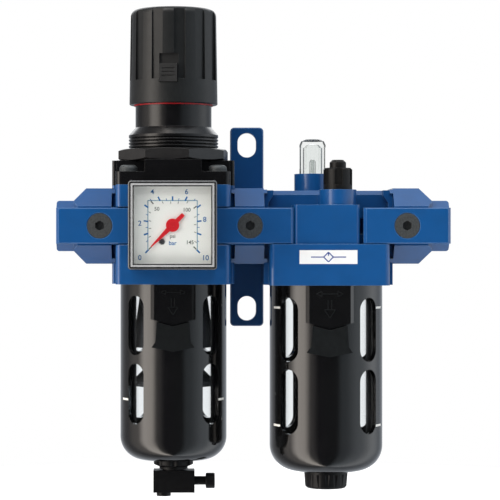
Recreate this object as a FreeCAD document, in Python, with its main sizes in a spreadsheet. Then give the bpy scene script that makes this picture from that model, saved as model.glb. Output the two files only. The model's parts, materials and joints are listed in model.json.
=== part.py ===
import FreeCAD, Part
import math
import os
from types import SimpleNamespace

import Sketcher

# Filter regulator lubricator for compressed air: two units side by side on one wall bracket.
# Millimetres. +X runs from inlet to outlet, +Z is up and the front faces -Y.
# The origin is the middle of the bracket's two wall slots, on its rear face.
# Each unit is drawn about its own upright axis, and "depth" is the distance in front of that axis.

SIZES = {
    # where things stand
    "wall_gap": 31.0,            # wall to the plane that holds both bowl axes
    "joint_half": 6.8,           # half the length of the connector between the units
    "fil_half": 28.4,            # half the filter regulator's width
    "lub_left": 29.6,            # lubricator axis to its left face
    "lub_right": 30.2,           # lubricator axis to its right face
    "seat": 20.5,                # depth of the faces that the clamp plates sit on
    "front": 28.2,               # depth of the bodies' front pads
    "ledge": 12.0,               # depth of the bodies' outer strips above and below the channel
    "rear": 26.4,                # axis to the rear faces of the bodies
    "fit": 0.1,                  # gap of a sliding fit
    "hair": 0.05,                # gap of a close fit
    # filter regulator body and bonnet
    "fil_inset": 2.15,           # side face to the side of the front pad
    "pad_round": 2.6,
    "side_round": 1.2,
    "channel_round": 0.5,
    "fil_top": 18.8,
    "fil_base": -26.8,
    "channel_half": 8.6,         # half the height of the clamp plate channel
    "flow_bore": 7.0,            # radius of the air way
    "lid_top": 30.4,
    "lid_floor": 24.8,           # floor of the bonnet's screw pockets
    "lid_pocket": 13.0,          # inner edge of those pockets
    "screw_inset": 7.9,          # side face to the bonnet screws
    "screw_shank": 1.65,
    "screw_head": 4.2,
    "screw_head_high": 3.1,
    "screw_front": 21.5,
    "screw_rear": 18.0,
    "thread_r": 21.0,            # panel thread M42 x 1.5
    "thread_pitch": 1.5,
    "thread_top": 42.6,
    "neck_r": 17.85,
    "neck_base": 46.2,
    "neck_top": 60.0,
    "chamber_r": 15.0,           # bore for the regulating spring
    "chamber_top": 49.7,
    "nut_wall": 3.65,            # thread to the nut's flats
    "nut_base": 30.5,
    "nut_thick": 5.4,
    # knob and spindle
    "knob_base": 56.8,
    "knob_top": 101.5,
    "knob_r": 20.7,
    "knob_top_r": 20.0,
    "knob_wall": 2.0,
    "knob_round": 3.2,
    "knob_push": 3.0,
    "flute_width": 5.2,
    "flute_deep": 0.8,
    "flute_base": 68.0,
    "window_half": 4.3,
    "window_low": 66.2,
    "window_high": 79.6,
    "tab_high": 8.4,
    "hub_r": 6.5,
    "hex_flats": 6.6,
    "spindle_r": 4.0,
    "spindle_low": 28.0,
    "spindle_top": 92.0,
    "collar_r": 6.5,
    "collar_thick": 2.6,
    "ring_r": 18.5,
    "spring_nut_top": 46.5,
    "spring_nut_thick": 5.0,
    "spring_r": 10.6,
    "spring_wire": 1.2,
    "plate_top": 21.5,
    # diaphragm and valve
    "membrane_r": 23.1,
    "membrane_thick": 1.5,
    "membrane_room_r": 19.0,
    "membrane_floor": 13.0,
    "plate_r": 14.0,
    "plate_low": 15.2,
    "seat_r": 4.5,
    "seat_low": -8.0,
    "seat_high": -5.0,
    "upper_bore": 6.0,
    "valve_r": 5.6,
    "valve_thick": 2.8,
    "valve_stem": 1.8,
    "valve_tail": 2.6,
    "valve_low": -24.0,
    "holder_bore": 8.0,
    "holder_boss": 11.0,
    "holder_low": -24.0,
    "holder_flange": 2.2,
    "down_port_x": 17.0,
    "down_port_r": 5.0,
    "skirt_gap": 0.7,            # skirt to the bowl's inner wall
    "skirt_lean": 3.4,           # bowl's neck to the top of the skirt
    "skirt_low": -56.5,
    "skirt_thick": 1.4,
    "element_gap": 3.0,          # skirt to the filter element
    "element_wall": 4.0,
    "element_low": -66.0,
    "baffle_thick": 4.0,
    "baffle_gap": 0.5,           # baffle to the bowl's inner wall
    "baffle_drop": 8.6,
    "baffle_rim": 2.2,
    "fin_low": -80.0,
    "fin_gap": 0.8,              # bore of the baffle to its fins
    "rod_r": 3.4,                # rod that carries the filter element
    "rod_tip": 1.0,
    # bowls and guards
    "socket_top": -14.5,
    "wall": 2.0,                 # guard wall
    "bowl_wall": 2.2,
    "bowl_gap": 0.8,             # bowl to guard
    "neck_step": 1.6,            # guard's skin to its bayonet neck
    "lug_step": 0.9,             # guard's skin to its bayonet lugs
    "neck_high": 4.4,
    "neck_wall": 2.0,            # wall of the bowl's neck
    "lug_high": 1.6,
    "lug_half": 4.0,
    "seal_r": 0.85,
    "pad_proud": 1.4,            # guard's skin to the face of its lock pad
    "pad_bevel": 1.5,
    "fil_guard_r": 24.9,
    "fil_guard_low": -109.1,
    "fil_corner": 10.8,
    "lub_base": -27.3,
    "lub_guard_r": 26.4,
    "lub_guard_low": -114.3,
    "lub_corner": 12.0,
    "fil_slot_r": 5.1,
    "lub_slot_r": 5.6,
    # drain
    "drain_r": 5.0,
    "drain_nut_r": 9.35,
    "block_drop": 5.2,           # guard's underside to the top of the drain block
    "block_high": 10.3,
    "block_half": 5.15,
    "block_left": 9.4,
    "block_right": 9.9,
    "spout_x": -4.6,
    "spout_r": 3.35,
    "spout_long": 1.9,
    "cross_r": 2.1,
    "cross_drop": 5.1,           # top of the drain block to its cross bore
    # gauge
    "gauge_half": 19.75,
    "gauge_front": 56.0,
    "gauge_split": 51.0,
    "gauge_rim": 2.6,
    "dial_front": 50.0,
    "dial_thick": 0.6,
    "needle_gap": 0.8,
    "needle_thick": 0.6,
    "hand_long": 13.6,
    "hand_tail": 6.8,
    "hand_hub": 2.95,
    "stop_r": 1.34,              # button that the hand rests on at zero
    "stop_aside": 4.75,
    "stop_down": 7.3,
    "tooth_module": 0.4,
    "gear_back": 41.0,
    "gear_thick": 1.6,
    "gauge_port": 5.0,
    # ports, bracket and clamps
    "port_long": 25.4,
    "port_full": 12.0,
    "port_step": 1.8,            # how far the narrow end's front stands back
    "port_round": 1.2,
    "ear_long": 1.5,
    "ear_low": 15.1,
    "ear_high": 16.9,
    "port_slope": 5.4,
    "joint_high": 17.5,
    "slope": 8.4,
    "end_high": 11.65,
    "port_r": 7.5,
    "port_deep": 14.0,
    "seal_bore": 9.4,
    "seal_wide": 2.2,
    "seal_deep": 1.4,
    "plate_half": 19.9,
    "plate_high": 8.2,
    "plate_front": 28.0,
    "plate_key": 12.0,
    "key_half": 1.5,
    "key_deep": 2.0,
    "key_high": 5.0,
    "clamp_out": 5.1,            # joint face to the screw of an end clamp
    "clamp_screw": 3.0,
    "clamp_head": 5.7,
    "clamp_deep": 9.0,
    "socket_flats": 4.0,
    "strap_half": 8.05,
    "strap_high": 47.95,
    "strap_thick": 4.5,
    "strap_bevel": 0.5,
    "slot_span": 78.8,
    "slot_r": 4.45,
    "slot_long": 11.8,
    # lubricator
    "lub_inset": 2.1,            # side face to the side of the front pad
    "lub_shelf": -8.4,
    "lub_top": 16.6,
    "flange": 2.1,
    "recess_bend": 10.7,         # where the recess walls start to lean inwards
    "recess_lean_x": 2.3,
    "recess_lean_z": 3.5,
    "recess_bevel": 1.9,
    "seat_long": 10.4,           # side face to the end of the ledge behind a clamp plate
    "recess_depth": 6.0,
    "boss_left": 16.4,
    "boss_right": 13.9,
    "boss_top": 9.6,
    "boss_front": 27.2,
    "plug_x": 4.3,
    "plug_depth": 18.0,
    "plug_boss_r": 8.6,
    "plug_boss_top": 16.7,
    "plug_r": 6.65,
    "plug_top": 26.7,
    "plug_flute": 3.3,
    "plug_stem": 4.0,
    "button_r": 3.8,
    "button_top": 30.4,
    "button_travel": 2.0,
    "dome_x": -5.9,
    "dome_depth": -6.0,
    "dome_boss_r": 8.65,
    "dome_base": 24.7,
    "dome_r": 6.2,
    "dome_top": 41.0,
    "dome_stem": 5.4,
    "siphon_depth": -10.5,
    "siphon_r": 2.0,
    "siphon_rise": 12.9,         # guard's underside to the end of the siphon tube
    "strainer_r": 4.0,
    "bottom_plug_r": 10.3,
    "bottom_plug_high": 8.3,
}

doc = FreeCAD.newDocument("FilterRegulatorLubricator")
sheet = doc.addObject("Spreadsheet::Sheet", "Dims")
for row, (alias, size) in enumerate(SIZES.items(), start=1):
    sheet.set(f"A{row}", alias)
    sheet.set(f"B{row}", str(size))
    sheet.setAlias(f"B{row}", alias)
doc.recompute()


def number(size):
    """The value of a size, or of a plain number, in millimetres."""
    return size.value if isinstance(size, Size) else float(size)


def formula(size):
    """The spreadsheet formula of a size, or a plain number as text."""
    return size.formula if isinstance(size, Size) else repr(float(size))


class Size:
    """A length that carries both its value and the spreadsheet formula that gives it."""

    def __init__(self, value, text):
        self.value = value
        self.formula = text

    def __add__(self, other):
        return Size(self.value + number(other), f"({self.formula} + {formula(other)})")

    __radd__ = __add__

    def __sub__(self, other):
        return Size(self.value - number(other), f"({self.formula} - {formula(other)})")

    def __rsub__(self, other):
        return Size(number(other) - self.value, f"({formula(other)} - {self.formula})")

    def __mul__(self, other):
        return Size(self.value * number(other), f"({self.formula} * {formula(other)})")

    __rmul__ = __mul__

    def __truediv__(self, other):
        return Size(self.value / number(other), f"({self.formula} / {formula(other)})")

    def __neg__(self):
        return Size(-self.value, f"(0 - {self.formula})")


D = SimpleNamespace(**{alias: Size(float(sheet.get(alias)), "Dims." + alias) for alias in SIZES})
nodes = []


def bind(target, path, size):
    """Tie one property of an object to the spreadsheet."""
    if isinstance(size, Size):
        target.setExpression(path, size.formula)


def new_body(label, x=0, depth=0, z=0):
    """An empty body whose frame stands at x, at a depth in front of the bowl axes, and at z."""
    body = doc.addObject("PartDesign::Body", label)
    body.Label = label
    body.AllowCompound = True
    place = (x, -D.wall_gap - depth, z)
    body.Placement.Base = FreeCAD.Vector(*[number(size) for size in place])
    for letter, size in zip("xyz", place):
        bind(body, "Placement.Base." + letter, size)
    nodes.append(body)
    return body


def origin_feature(body, role):
    return next(item for item in body.Origin.OriginFeatures if item.Role == role)


def sketch_on(body, plane, start=0, aside=0, up=0, turn=0):
    """Sketch on an origin plane, moved along its normal by start and within it by aside and up."""
    sketch = body.newObject("Sketcher::SketchObject", body.Label + "_sketch")
    sketch.AttachmentSupport = [(origin_feature(body, plane), "")]
    sketch.MapMode = "FlatFace"
    swing = math.radians(turn)
    about = FreeCAD.Vector(0, 0, 1)
    base = (aside, up, start)
    if plane != "XY_Plane":
        about = FreeCAD.Vector(0, 1, 0)
        if turn:
            base = (start * math.sin(swing), up, start * math.cos(swing))
    middle = FreeCAD.Vector(*[number(size) for size in base])
    sketch.AttachmentOffset = FreeCAD.Placement(middle, FreeCAD.Rotation(about, turn))
    for letter, size in zip("xyz", base):
        bind(sketch, "AttachmentOffset.Base." + letter, size)
    return sketch


def pin_point(sketch, geometry, point, x, y):
    """Hold one point of a sketch at its two distances from the origin."""
    made = sketch.addConstraint([
        Sketcher.Constraint("DistanceX", -1, 1, geometry, point, number(x)),
        Sketcher.Constraint("DistanceY", -1, 1, geometry, point, number(y)),
    ])
    bind(sketch, f"Constraints[{made[0]}]", x)
    bind(sketch, f"Constraints[{made[1]}]", y)


def draw_outline(sketch, points):
    """Closed outline of straight lines through the points."""
    first = sketch.GeometryCount
    count = len(points)
    ends = [FreeCAD.Vector(number(x), number(y), 0) for x, y in points]
    sketch.addGeometry([Part.LineSegment(ends[i], ends[(i + 1) % count]) for i in range(count)], False)
    sketch.addConstraint([
        Sketcher.Constraint("Coincident", first + i, 2, first + (i + 1) % count, 1) for i in range(count)
    ])
    for i, (x, y) in enumerate(points):
        pin_point(sketch, first + i, 1, x, y)


def draw_circle(sketch, x, y, radius):
    middle = FreeCAD.Vector(number(x), number(y), 0)
    circle = sketch.addGeometry(Part.Circle(middle, FreeCAD.Vector(0, 0, 1), number(radius)), False)
    pin_point(sketch, circle, 3, x, y)
    made = sketch.addConstraint(Sketcher.Constraint("Radius", circle, number(radius)))
    bind(sketch, f"Constraints[{made}]", radius)


def draw_slot(sketch, x, low, high, radius):
    """Upright slot whose round ends have their middles at low and high."""
    upward = FreeCAD.Vector(0, 0, 1)
    ends = [(x - radius, low), (x - radius, high), (x + radius, high), (x + radius, low)]
    corners = [FreeCAD.Vector(number(a), number(b), 0) for a, b in ends]
    top = Part.Circle(FreeCAD.Vector(number(x), number(high), 0), upward, number(radius))
    bottom = Part.Circle(FreeCAD.Vector(number(x), number(low), 0), upward, number(radius))
    first = sketch.GeometryCount
    sketch.addGeometry([
        Part.LineSegment(corners[0], corners[1]),
        Part.LineSegment(corners[2], corners[3]),
        Part.ArcOfCircle(top, 0, math.pi),
        Part.ArcOfCircle(bottom, math.pi, 2 * math.pi),
    ], False)
    sketch.addConstraint([
        Sketcher.Constraint("Coincident", first, 2, first + 2, 2),
        Sketcher.Constraint("Coincident", first + 1, 1, first + 2, 1),
        Sketcher.Constraint("Coincident", first + 1, 2, first + 3, 2),
        Sketcher.Constraint("Coincident", first, 1, first + 3, 1),
    ])
    pin_point(sketch, first, 1, *ends[0])
    pin_point(sketch, first, 2, *ends[1])
    pin_point(sketch, first + 1, 1, *ends[2])
    pin_point(sketch, first + 1, 2, *ends[3])
    for arc, middle in ((first + 2, high), (first + 3, low)):
        made = sketch.addConstraint(Sketcher.Constraint("DistanceY", -1, 1, arc, 3, number(middle)))
        bind(sketch, f"Constraints[{made}]", middle)


def box_outline(x0, x1, y0, y1):
    return [(x0, y0), (x1, y0), (x1, y1), (x0, y1)]


def hexagon(flats, count=6, first=0.0):
    """Regular outline with the given distance across its flats."""
    corner = 0.5 / math.cos(math.pi / count)
    turns = [math.radians(first) + 2 * math.pi * i / count for i in range(count)]
    return [(flats * (corner * math.cos(a)), flats * (corner * math.sin(a))) for a in turns]


def extrude(body, kind, plane, start, length, outlines=(), circles=(), slots=(), turn=0):
    """Pad or pocket of the outlines, from start along the plane's normal."""
    sketch = sketch_on(body, plane, start=start, turn=turn)
    for points in outlines:
        draw_outline(sketch, points)
    for circle in circles:
        draw_circle(sketch, *circle)
    for slot in slots:
        draw_slot(sketch, *slot)
    feature = body.newObject("PartDesign::" + kind, body.Label + "_" + kind.lower())
    feature.Profile = (sketch, [""])
    feature.Length = number(length)
    bind(feature, "Length", length)
    feature.Reversed = kind == "Pocket"
    return feature


def pad(body, plane, start, length, **shapes):
    return extrude(body, "Pad", plane, start, length, **shapes)


def pocket(body, plane, start, length, **shapes):
    return extrude(body, "Pocket", plane, start, length, **shapes)


def lathe(body, profile, kind="Revolution", plane="XZ_Plane", axis="V_Axis", **shift):
    """Turn a profile of (radius, height) points about the sketch's own axis."""
    sketch = sketch_on(body, plane, **shift)
    draw_outline(sketch, profile)
    feature = body.newObject("PartDesign::" + kind, body.Label + "_" + kind.lower())
    feature.Profile = (sketch, [""])
    feature.ReferenceAxis = (sketch, [axis])
    feature.Angle = 360
    return feature


def polar(body, feature, count):
    """Repeat a feature evenly about the body's upright axis."""
    pattern = body.newObject("PartDesign::PolarPattern", body.Label + "_polar")
    pattern.Originals = [feature]
    pattern.Axis = (origin_feature(body, "Z_Axis"), [""])
    pattern.Angle = 360
    pattern.Occurrences = count
    body.Tip = pattern
    return pattern


def row_of(body, feature, length, count):
    """Repeat a feature up the body's upright axis."""
    pattern = body.newObject("PartDesign::LinearPattern", body.Label + "_row")
    pattern.Originals = [feature]
    pattern.Direction = (origin_feature(body, "Z_Axis"), [""])
    pattern.Length = number(length)
    bind(pattern, "Length", length)
    pattern.Occurrences = count
    body.Tip = pattern
    return pattern


def dress(body, kind, size, chosen):
    """Fillet or chamfer on the edges of the finished shape that the test picks."""
    doc.recompute()
    base = body.Tip
    edges = [f"Edge{i}" for i, edge in enumerate(base.Shape.Edges, start=1) if chosen(edge.BoundBox)]
    if not edges:
        raise ValueError("no edge to dress on " + body.Label)
    feature = body.newObject("PartDesign::" + kind, body.Label + "_" + kind.lower())
    feature.Base = (base, edges)
    setting = "Radius" if kind == "Fillet" else "Size"
    setattr(feature, setting, number(size))
    bind(feature, setting, size)
    return feature


def near(a, b):
    return abs(a - number(b)) < 0.02


def upright(x, y):
    """Test for straight upright edges at plus or minus x and at y."""
    def test(box):
        thin = box.XLength < 0.02 and box.YLength < 0.02
        return thin and box.ZLength > 0.5 and near(abs(box.Center.x), x) and near(box.Center.y, y)
    return test


def ring_edge(radius, z):
    """Test for whole circles about the upright axis."""
    def test(box):
        return near(box.XMax, radius) and near(box.YMax, radius) and box.ZLength < 0.02 and near(box.ZMin, z)
    return test


def coil(label, x, mean, wire, low, high, turns):
    """Round-wire spring about an upright axis, as long as the space between two faces."""
    body = new_body(label, x=x)
    sketch = sketch_on(body, "XZ_Plane")
    draw_circle(sketch, mean, low + wire, wire)
    spring = body.newObject("PartDesign::AdditiveHelix", label + "_helix")
    spring.Profile = (sketch, [""])
    spring.ReferenceAxis = (sketch, ["V_Axis"])
    spring.Mode = "height-turns-angle"
    rise = high - low - 2 * wire
    spring.Height = number(rise)
    bind(spring, "Height", rise)
    spring.Turns = turns
    spring.Angle = 0
    return body


fil_x = -(D.joint_half + D.fil_half)
lub_x = D.joint_half + D.lub_left
fil_face = fil_x - D.fil_half
lub_face = lub_x + D.lub_right
fil_front_half = D.fil_half - D.fil_inset
lub_front_half = D.lub_left - D.lub_inset
screw_x = D.fil_half - D.screw_inset
nut_flats = 2 * (D.thread_r + D.nut_wall)
block_top = D.fil_guard_low - D.block_drop
block_low = block_top - D.block_high
spout_low = block_low - D.spout_long
cross_z = block_top - D.cross_drop
siphon_low = D.lub_guard_low + D.siphon_rise
clamp_xs = {
    "inlet": fil_face - D.clamp_out,
    "centre": D.joint_half * 0,
    "outlet": lub_face + D.clamp_out,
}


def plan_outline(left, right, front_half):
    """Plan of a body: a wide block with a narrower front."""
    return [(-left, D.rear), (-left, -D.ledge), (-front_half, -D.ledge), (-front_half, -D.front),
            (front_half, -D.front), (front_half, -D.ledge), (right, -D.ledge), (right, D.rear)]


def key_slots(body, unit_x, clamps):
    """Slots in the seat face that the clamp plates' keys drop into."""
    outlines = []
    for clamp, side in clamps:
        middle = clamp_xs[clamp] + side * D.plate_key - unit_x
        half = D.key_half + D.fit
        outlines.append(box_outline(middle - half, middle + half, -D.key_high - D.fit, D.key_high + D.fit))
    pocket(body, "XZ_Plane", D.seat - D.key_deep - D.fit, D.key_deep + 2, outlines=outlines)


def socket_profile(top, base, guard_r):
    """Right-hand half of the bowl socket: bowl bore, bayonet groove and guard neck, from the top down."""
    bowl_r = guard_r - D.wall - D.bowl_gap
    neck_r = guard_r - D.neck_step
    lug_r = guard_r - D.lug_step
    lug_top = base + D.neck_high + D.fit
    lug_low = base + D.neck_high - D.lug_high - D.fit
    return [(bowl_r + D.fit, top), (bowl_r + D.fit, lug_top), (lug_r + D.fit, lug_top),
            (lug_r + D.fit, lug_low), (neck_r + D.fit, lug_low), (neck_r + D.fit, base - 1), (0, base - 1)]


def lug_entries(body, base, guard_r):
    """Three ways up into the bayonet groove, an eighth of a turn from the lugs."""
    half = D.lug_half + D.fit * 3
    inner = guard_r - D.neck_step - 1
    outer = guard_r - D.lug_step + D.fit
    entry = pocket(body, "XY_Plane", base - 1, D.neck_high + 1,
                   outlines=[box_outline(-half, half, -outer, -inner)], turn=45)
    polar(body, entry, 3)


# ---------------------------------------------------------------- filter regulator body

def make_regulator_body():
    body = new_body("regulator_body", x=fil_x)
    plan = plan_outline(D.fil_half, D.fil_half, fil_front_half)
    pad(body, "XY_Plane", D.fil_base, D.fil_top - D.fil_base, outlines=[plan])
    dress(body, "Fillet", D.pad_round, upright(fil_front_half, -D.front))
    dress(body, "Fillet", D.side_round, upright(D.fil_half, -D.ledge))
    wide = D.fil_half + 2
    pocket(body, "XZ_Plane", D.seat, D.front - D.seat + 1,
           outlines=[box_outline(-wide, wide, -D.channel_half, D.channel_half)])
    pad(body, "XZ_Plane", D.ledge - D.side_round, D.seat - D.ledge + D.side_round,
        outlines=[box_outline(-D.fil_half, D.fil_half, -D.channel_half, D.channel_half)])

    def channel_edge(box):
        flat = near(box.YMin, -D.front) and box.YLength < 0.02
        return flat and box.XLength > 9 and near(abs(box.Center.z), D.channel_half)
    dress(body, "Fillet", D.channel_round, channel_edge)
    recess = D.membrane_r + D.fit
    floor = D.fil_top - D.membrane_thick
    lathe(body, [(0, D.fil_top + 1), (recess, D.fil_top + 1), (recess, floor), (D.membrane_room_r, floor),
                 (D.membrane_room_r, D.membrane_floor), (D.upper_bore, D.membrane_floor),
                 (D.upper_bore, D.seat_high), (D.seat_r, D.seat_high), (D.seat_r, D.seat_low),
                 (D.holder_bore, D.seat_low), (D.holder_bore, D.holder_low),
                 (D.holder_boss, D.holder_low), (D.holder_boss, D.socket_top)]
          + socket_profile(D.socket_top, D.fil_base, D.fil_guard_r), kind="Groove")
    lug_entries(body, D.fil_base, D.fil_guard_r)
    pocket(body, "YZ_Plane", -D.fil_half - 1, D.fil_half - 12, circles=[(0, 0, D.flow_bore)])
    pocket(body, "YZ_Plane", D.upper_bore - 2, D.fil_half, circles=[(0, 0, D.flow_bore)])
    pocket(body, "XY_Plane", D.socket_top - 1, 1 - D.socket_top, circles=[(-D.down_port_x, 0, D.down_port_r)])
    pocket(body, "XZ_Plane", 4, D.front, circles=[(0, 0, D.gauge_port + D.hair)])
    pocket(body, "XZ_Plane", -D.rear - 1, D.rear - 3, circles=[(0, 3, 4.3)])
    bore = D.screw_shank + D.hair
    holes = [(side * screw_x, y, bore) for side in (-1, 1) for y in (-D.screw_front, D.screw_rear)]
    pocket(body, "XY_Plane", D.fil_top - 9, 12, circles=holes)
    key_slots(body, fil_x, [("inlet", 1), ("centre", -1)])


def make_bonnet():
    body = new_body("bonnet", x=fil_x)
    plan = plan_outline(D.fil_half, D.fil_half, fil_front_half)
    pad(body, "XY_Plane", D.fil_top, D.lid_top - D.fil_top, outlines=[plan])
    dress(body, "Fillet", D.pad_round, upright(fil_front_half, -D.front))
    dress(body, "Fillet", D.side_round, upright(D.fil_half, -D.ledge))
    lathe(body, [(D.neck_r - 4, D.lid_top - 1), (D.thread_r, D.lid_top - 1), (D.thread_r, D.thread_top),
                 (D.neck_r, D.neck_base), (D.neck_r, D.neck_top), (D.neck_r - 4, D.neck_top)])
    lathe(body, [(D.spindle_r - 1, D.chamber_top), (D.neck_r - 3, D.chamber_top),
                 (D.neck_r - 3, D.neck_top), (D.spindle_r - 1, D.neck_top)])
    tiny = 0.8
    groove = lathe(body, [(D.thread_r - tiny, D.nut_base), (D.thread_r + tiny, D.nut_base - tiny),
                          (D.thread_r + tiny, D.nut_base + tiny)], kind="Groove")
    row_of(body, groove, 7 * D.thread_pitch, 8)
    lathe(body, [(0, D.fil_top - 1), (D.chamber_r, D.fil_top - 1), (D.chamber_r, D.chamber_top),
                 (D.spindle_r + D.fit, D.chamber_top), (D.spindle_r + D.fit, D.neck_top + 1),
                 (0, D.neck_top + 1)], kind="Groove")
    keyway = D.key_half + D.fit
    pocket(body, "XY_Plane", D.fil_top - 1, D.spring_nut_top - D.fil_top + 2, outlines=[
        box_outline(D.chamber_r - 1, D.chamber_r + 1.6, -keyway, keyway),
        box_outline(-D.chamber_r - 1.6, 1 - D.chamber_r, -keyway, keyway)])
    edge = D.fil_half + 2
    front_edge = -D.screw_front + 8
    rear_edge = D.screw_rear - 6
    corners = []
    for side in (-1, 1):
        inner, outer = side * D.lid_pocket, side * edge
        corners.append(box_outline(inner, outer, rear_edge, D.rear + 1))
        corners.append(box_outline(inner, outer, -D.front - 1, front_edge))
    pocket(body, "XY_Plane", D.lid_floor, D.lid_top - D.lid_floor + 0.01, outlines=corners)
    bore = D.screw_shank + 0.45
    holes = [(side * screw_x, y, bore) for side in (-1, 1) for y in (-D.screw_front, D.screw_rear)]
    pocket(body, "XY_Plane", D.fil_top - 1, D.lid_floor - D.fil_top + 2, circles=holes)


def make_bonnet_screws():
    body = new_body("bonnet_screws", x=fil_x)
    spots = [(side * screw_x, y) for side in (-1, 1) for y in (-D.screw_front, D.screw_rear)]
    low = D.fil_top - 8
    pad(body, "XY_Plane", low, D.lid_floor - low, circles=[(x, y, D.screw_shank) for x, y in spots])
    pad(body, "XY_Plane", D.lid_floor, D.screw_head_high, circles=[(x, y, D.screw_head) for x, y in spots])
    top = D.lid_floor + D.screw_head_high
    dress(body, "Fillet", 1.8, lambda box: near(box.ZMin, top) and box.ZLength < 0.02
          and near(box.XLength, 2 * D.screw_head))
    arm, half = 2.3, 0.45
    for x, y in spots:
        cross = [box_outline(x - arm, x + arm, y - half, y + half)]
        pocket(body, "XY_Plane", top - 1.4, 2, outlines=cross)
        upright_bar = [box_outline(x - half, x + half, y - arm, y + arm)]
        pocket(body, "XY_Plane", top - 1.4, 2, outlines=upright_bar)


def make_panel_nut():
    body = new_body("panel_nut", x=fil_x)
    flats = nut_flats
    pad(body, "XY_Plane", D.nut_base, D.nut_thick, outlines=[hexagon(flats, 8, -90 + 22.5 - 6.5)])
    corner = flats * (0.5 / math.cos(math.pi / 8))
    top = D.nut_base + D.nut_thick
    for edge, inside in ((top, top - 1.0), (D.nut_base, D.nut_base + 1.0)):
        lathe(body, [(flats / 2 - 0.4, edge), (corner + 2, inside - (edge - inside) * 0.6), (corner + 2, edge)],
              kind="Groove")
    pocket(body, "XY_Plane", D.nut_base - 1, D.nut_thick + 2, circles=[(0, 0, D.thread_r + D.hair)])


# ---------------------------------------------------------------- knob, spindle and springs

FLUTES = 12
FLUTE_TURN = 8.4       # degrees from the front to the nearest flute
TAB_TURN = -6.3        # degrees from the front to the lock tab


def make_knob():
    body = new_body("knob", x=fil_x)
    inner = D.knob_r - D.knob_wall
    ceiling = D.knob_top - 2.6
    lathe(body, [(0, D.knob_top), (D.knob_top_r, D.knob_top), (D.knob_r, D.knob_base), (inner, D.knob_base),
                 (inner, ceiling), (D.hub_r, ceiling), (D.hub_r, D.window_low), (0, D.window_low)])
    dress(body, "Fillet", D.knob_round, ring_edge(D.knob_top_r, D.knob_top))
    dress(body, "Fillet", 0.6, ring_edge(D.knob_r, D.knob_base))
    half = D.flute_width / 2
    flute = pocket(body, "XY_Plane", D.flute_base, D.knob_top - D.flute_base + 1, turn=FLUTE_TURN,
                   outlines=[box_outline(-half, half, -D.knob_r - 2, D.flute_deep - D.knob_top_r)])
    polar(body, flute, FLUTES)
    pocket(body, "XZ_Plane", D.hub_r + 2, D.knob_r, turn=TAB_TURN,
           outlines=[box_outline(-D.window_half, D.window_half, D.window_low, D.window_high)])
    pocket(body, "XY_Plane", D.window_low - 1, D.spindle_top + D.knob_push + 2 - D.window_low,
           outlines=[hexagon(D.hex_flats + D.fit * 2)])


def make_lock_tab():
    body = new_body("knob_lock_tab", x=fil_x)
    half = D.window_half - D.fit * 2
    low = D.window_low + 0.2
    wing = half + 1.1
    back = D.knob_r - D.knob_wall - 2.2
    pad(body, "XZ_Plane", back, D.knob_r - back + 0.1, turn=TAB_TURN,
        outlines=[box_outline(-half, half, low, low + D.tab_high)])
    pad(body, "XZ_Plane", back, 1.2, turn=TAB_TURN,
        outlines=[box_outline(-wing, wing, low, D.window_high + 0.8)])
    for i in range(3):
        rib = low + D.tab_high * (0.3 + 0.2 * i)
        pocket(body, "XZ_Plane", D.knob_r - 0.3, 1, turn=TAB_TURN,
               outlines=[box_outline(-half + 1.2, half - 1.2, rib, rib + 0.6)])


def make_unlocked_ring():
    body = new_body("unlocked_ring", x=fil_x)
    low = D.knob_base - 0.55
    bore = D.neck_r + D.hair
    lathe(body, [(bore, low), (D.ring_r, low), (D.ring_r, low + 1.6), (bore, low + 1.6)])


def make_spindle():
    body = new_body("adjusting_spindle", x=fil_x)
    collar_top = D.chamber_top - D.fit * 2
    collar_low = collar_top - D.collar_thick
    hex_low = D.neck_top + 0.5
    lathe(body, [(0, D.spindle_low), (D.spindle_r, D.spindle_low), (D.spindle_r, collar_low),
                 (D.collar_r, collar_low), (D.collar_r, collar_top), (D.spindle_r, collar_top),
                 (D.spindle_r, hex_low), (0, hex_low)])
    pad(body, "XY_Plane", hex_low, D.spindle_top - hex_low, outlines=[hexagon(D.hex_flats)])
    dress(body, "Chamfer", 0.6, lambda box: box.ZLength < 0.02 and near(box.ZMin, D.spindle_top))


def make_spring_nut():
    body = new_body("spring_nut", x=fil_x)
    top = D.spring_nut_top
    low = top - D.spring_nut_thick
    bore = D.spindle_r + D.hair
    edge = D.chamber_r - 0.4
    lathe(body, [(bore, low - 3), (8.2, low - 3), (8.2, low), (edge, low), (edge, top), (bore, top)])
    tip = D.chamber_r + 1.4
    for inner, outer in ((D.chamber_r - 2, tip), (-tip, 2 - D.chamber_r)):
        pad(body, "XY_Plane", low, D.spring_nut_thick,
            outlines=[box_outline(inner, outer, -D.key_half, D.key_half)])


def make_diaphragm():
    body = new_body("diaphragm", x=fil_x)
    low = D.fil_top - D.membrane_thick
    inner = D.plate_r + 0.3
    bend = (D.membrane_room_r + inner) / 2
    lathe(body, [(inner, low), (bend, low - 0.9), (D.membrane_room_r, low), (D.membrane_r, low),
                 (D.membrane_r, D.fil_top), (D.membrane_room_r - 0.6, D.fil_top), (bend, low - 0.1),
                 (inner, low + 0.9)])


def make_diaphragm_plate():
    body = new_body("diaphragm_plate", x=fil_x)
    low = D.plate_low
    spigot = D.spring_r - D.spring_wire - 0.5
    lathe(body, [(0, low), (D.plate_r - 1, low), (D.plate_r, low + 1), (D.plate_r, D.plate_top),
                 (spigot, D.plate_top), (spigot - 0.5, D.plate_top + 1.8),
                 (3, D.plate_top + 1.8), (3, D.plate_top - 2), (0, D.plate_top - 2)])


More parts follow.
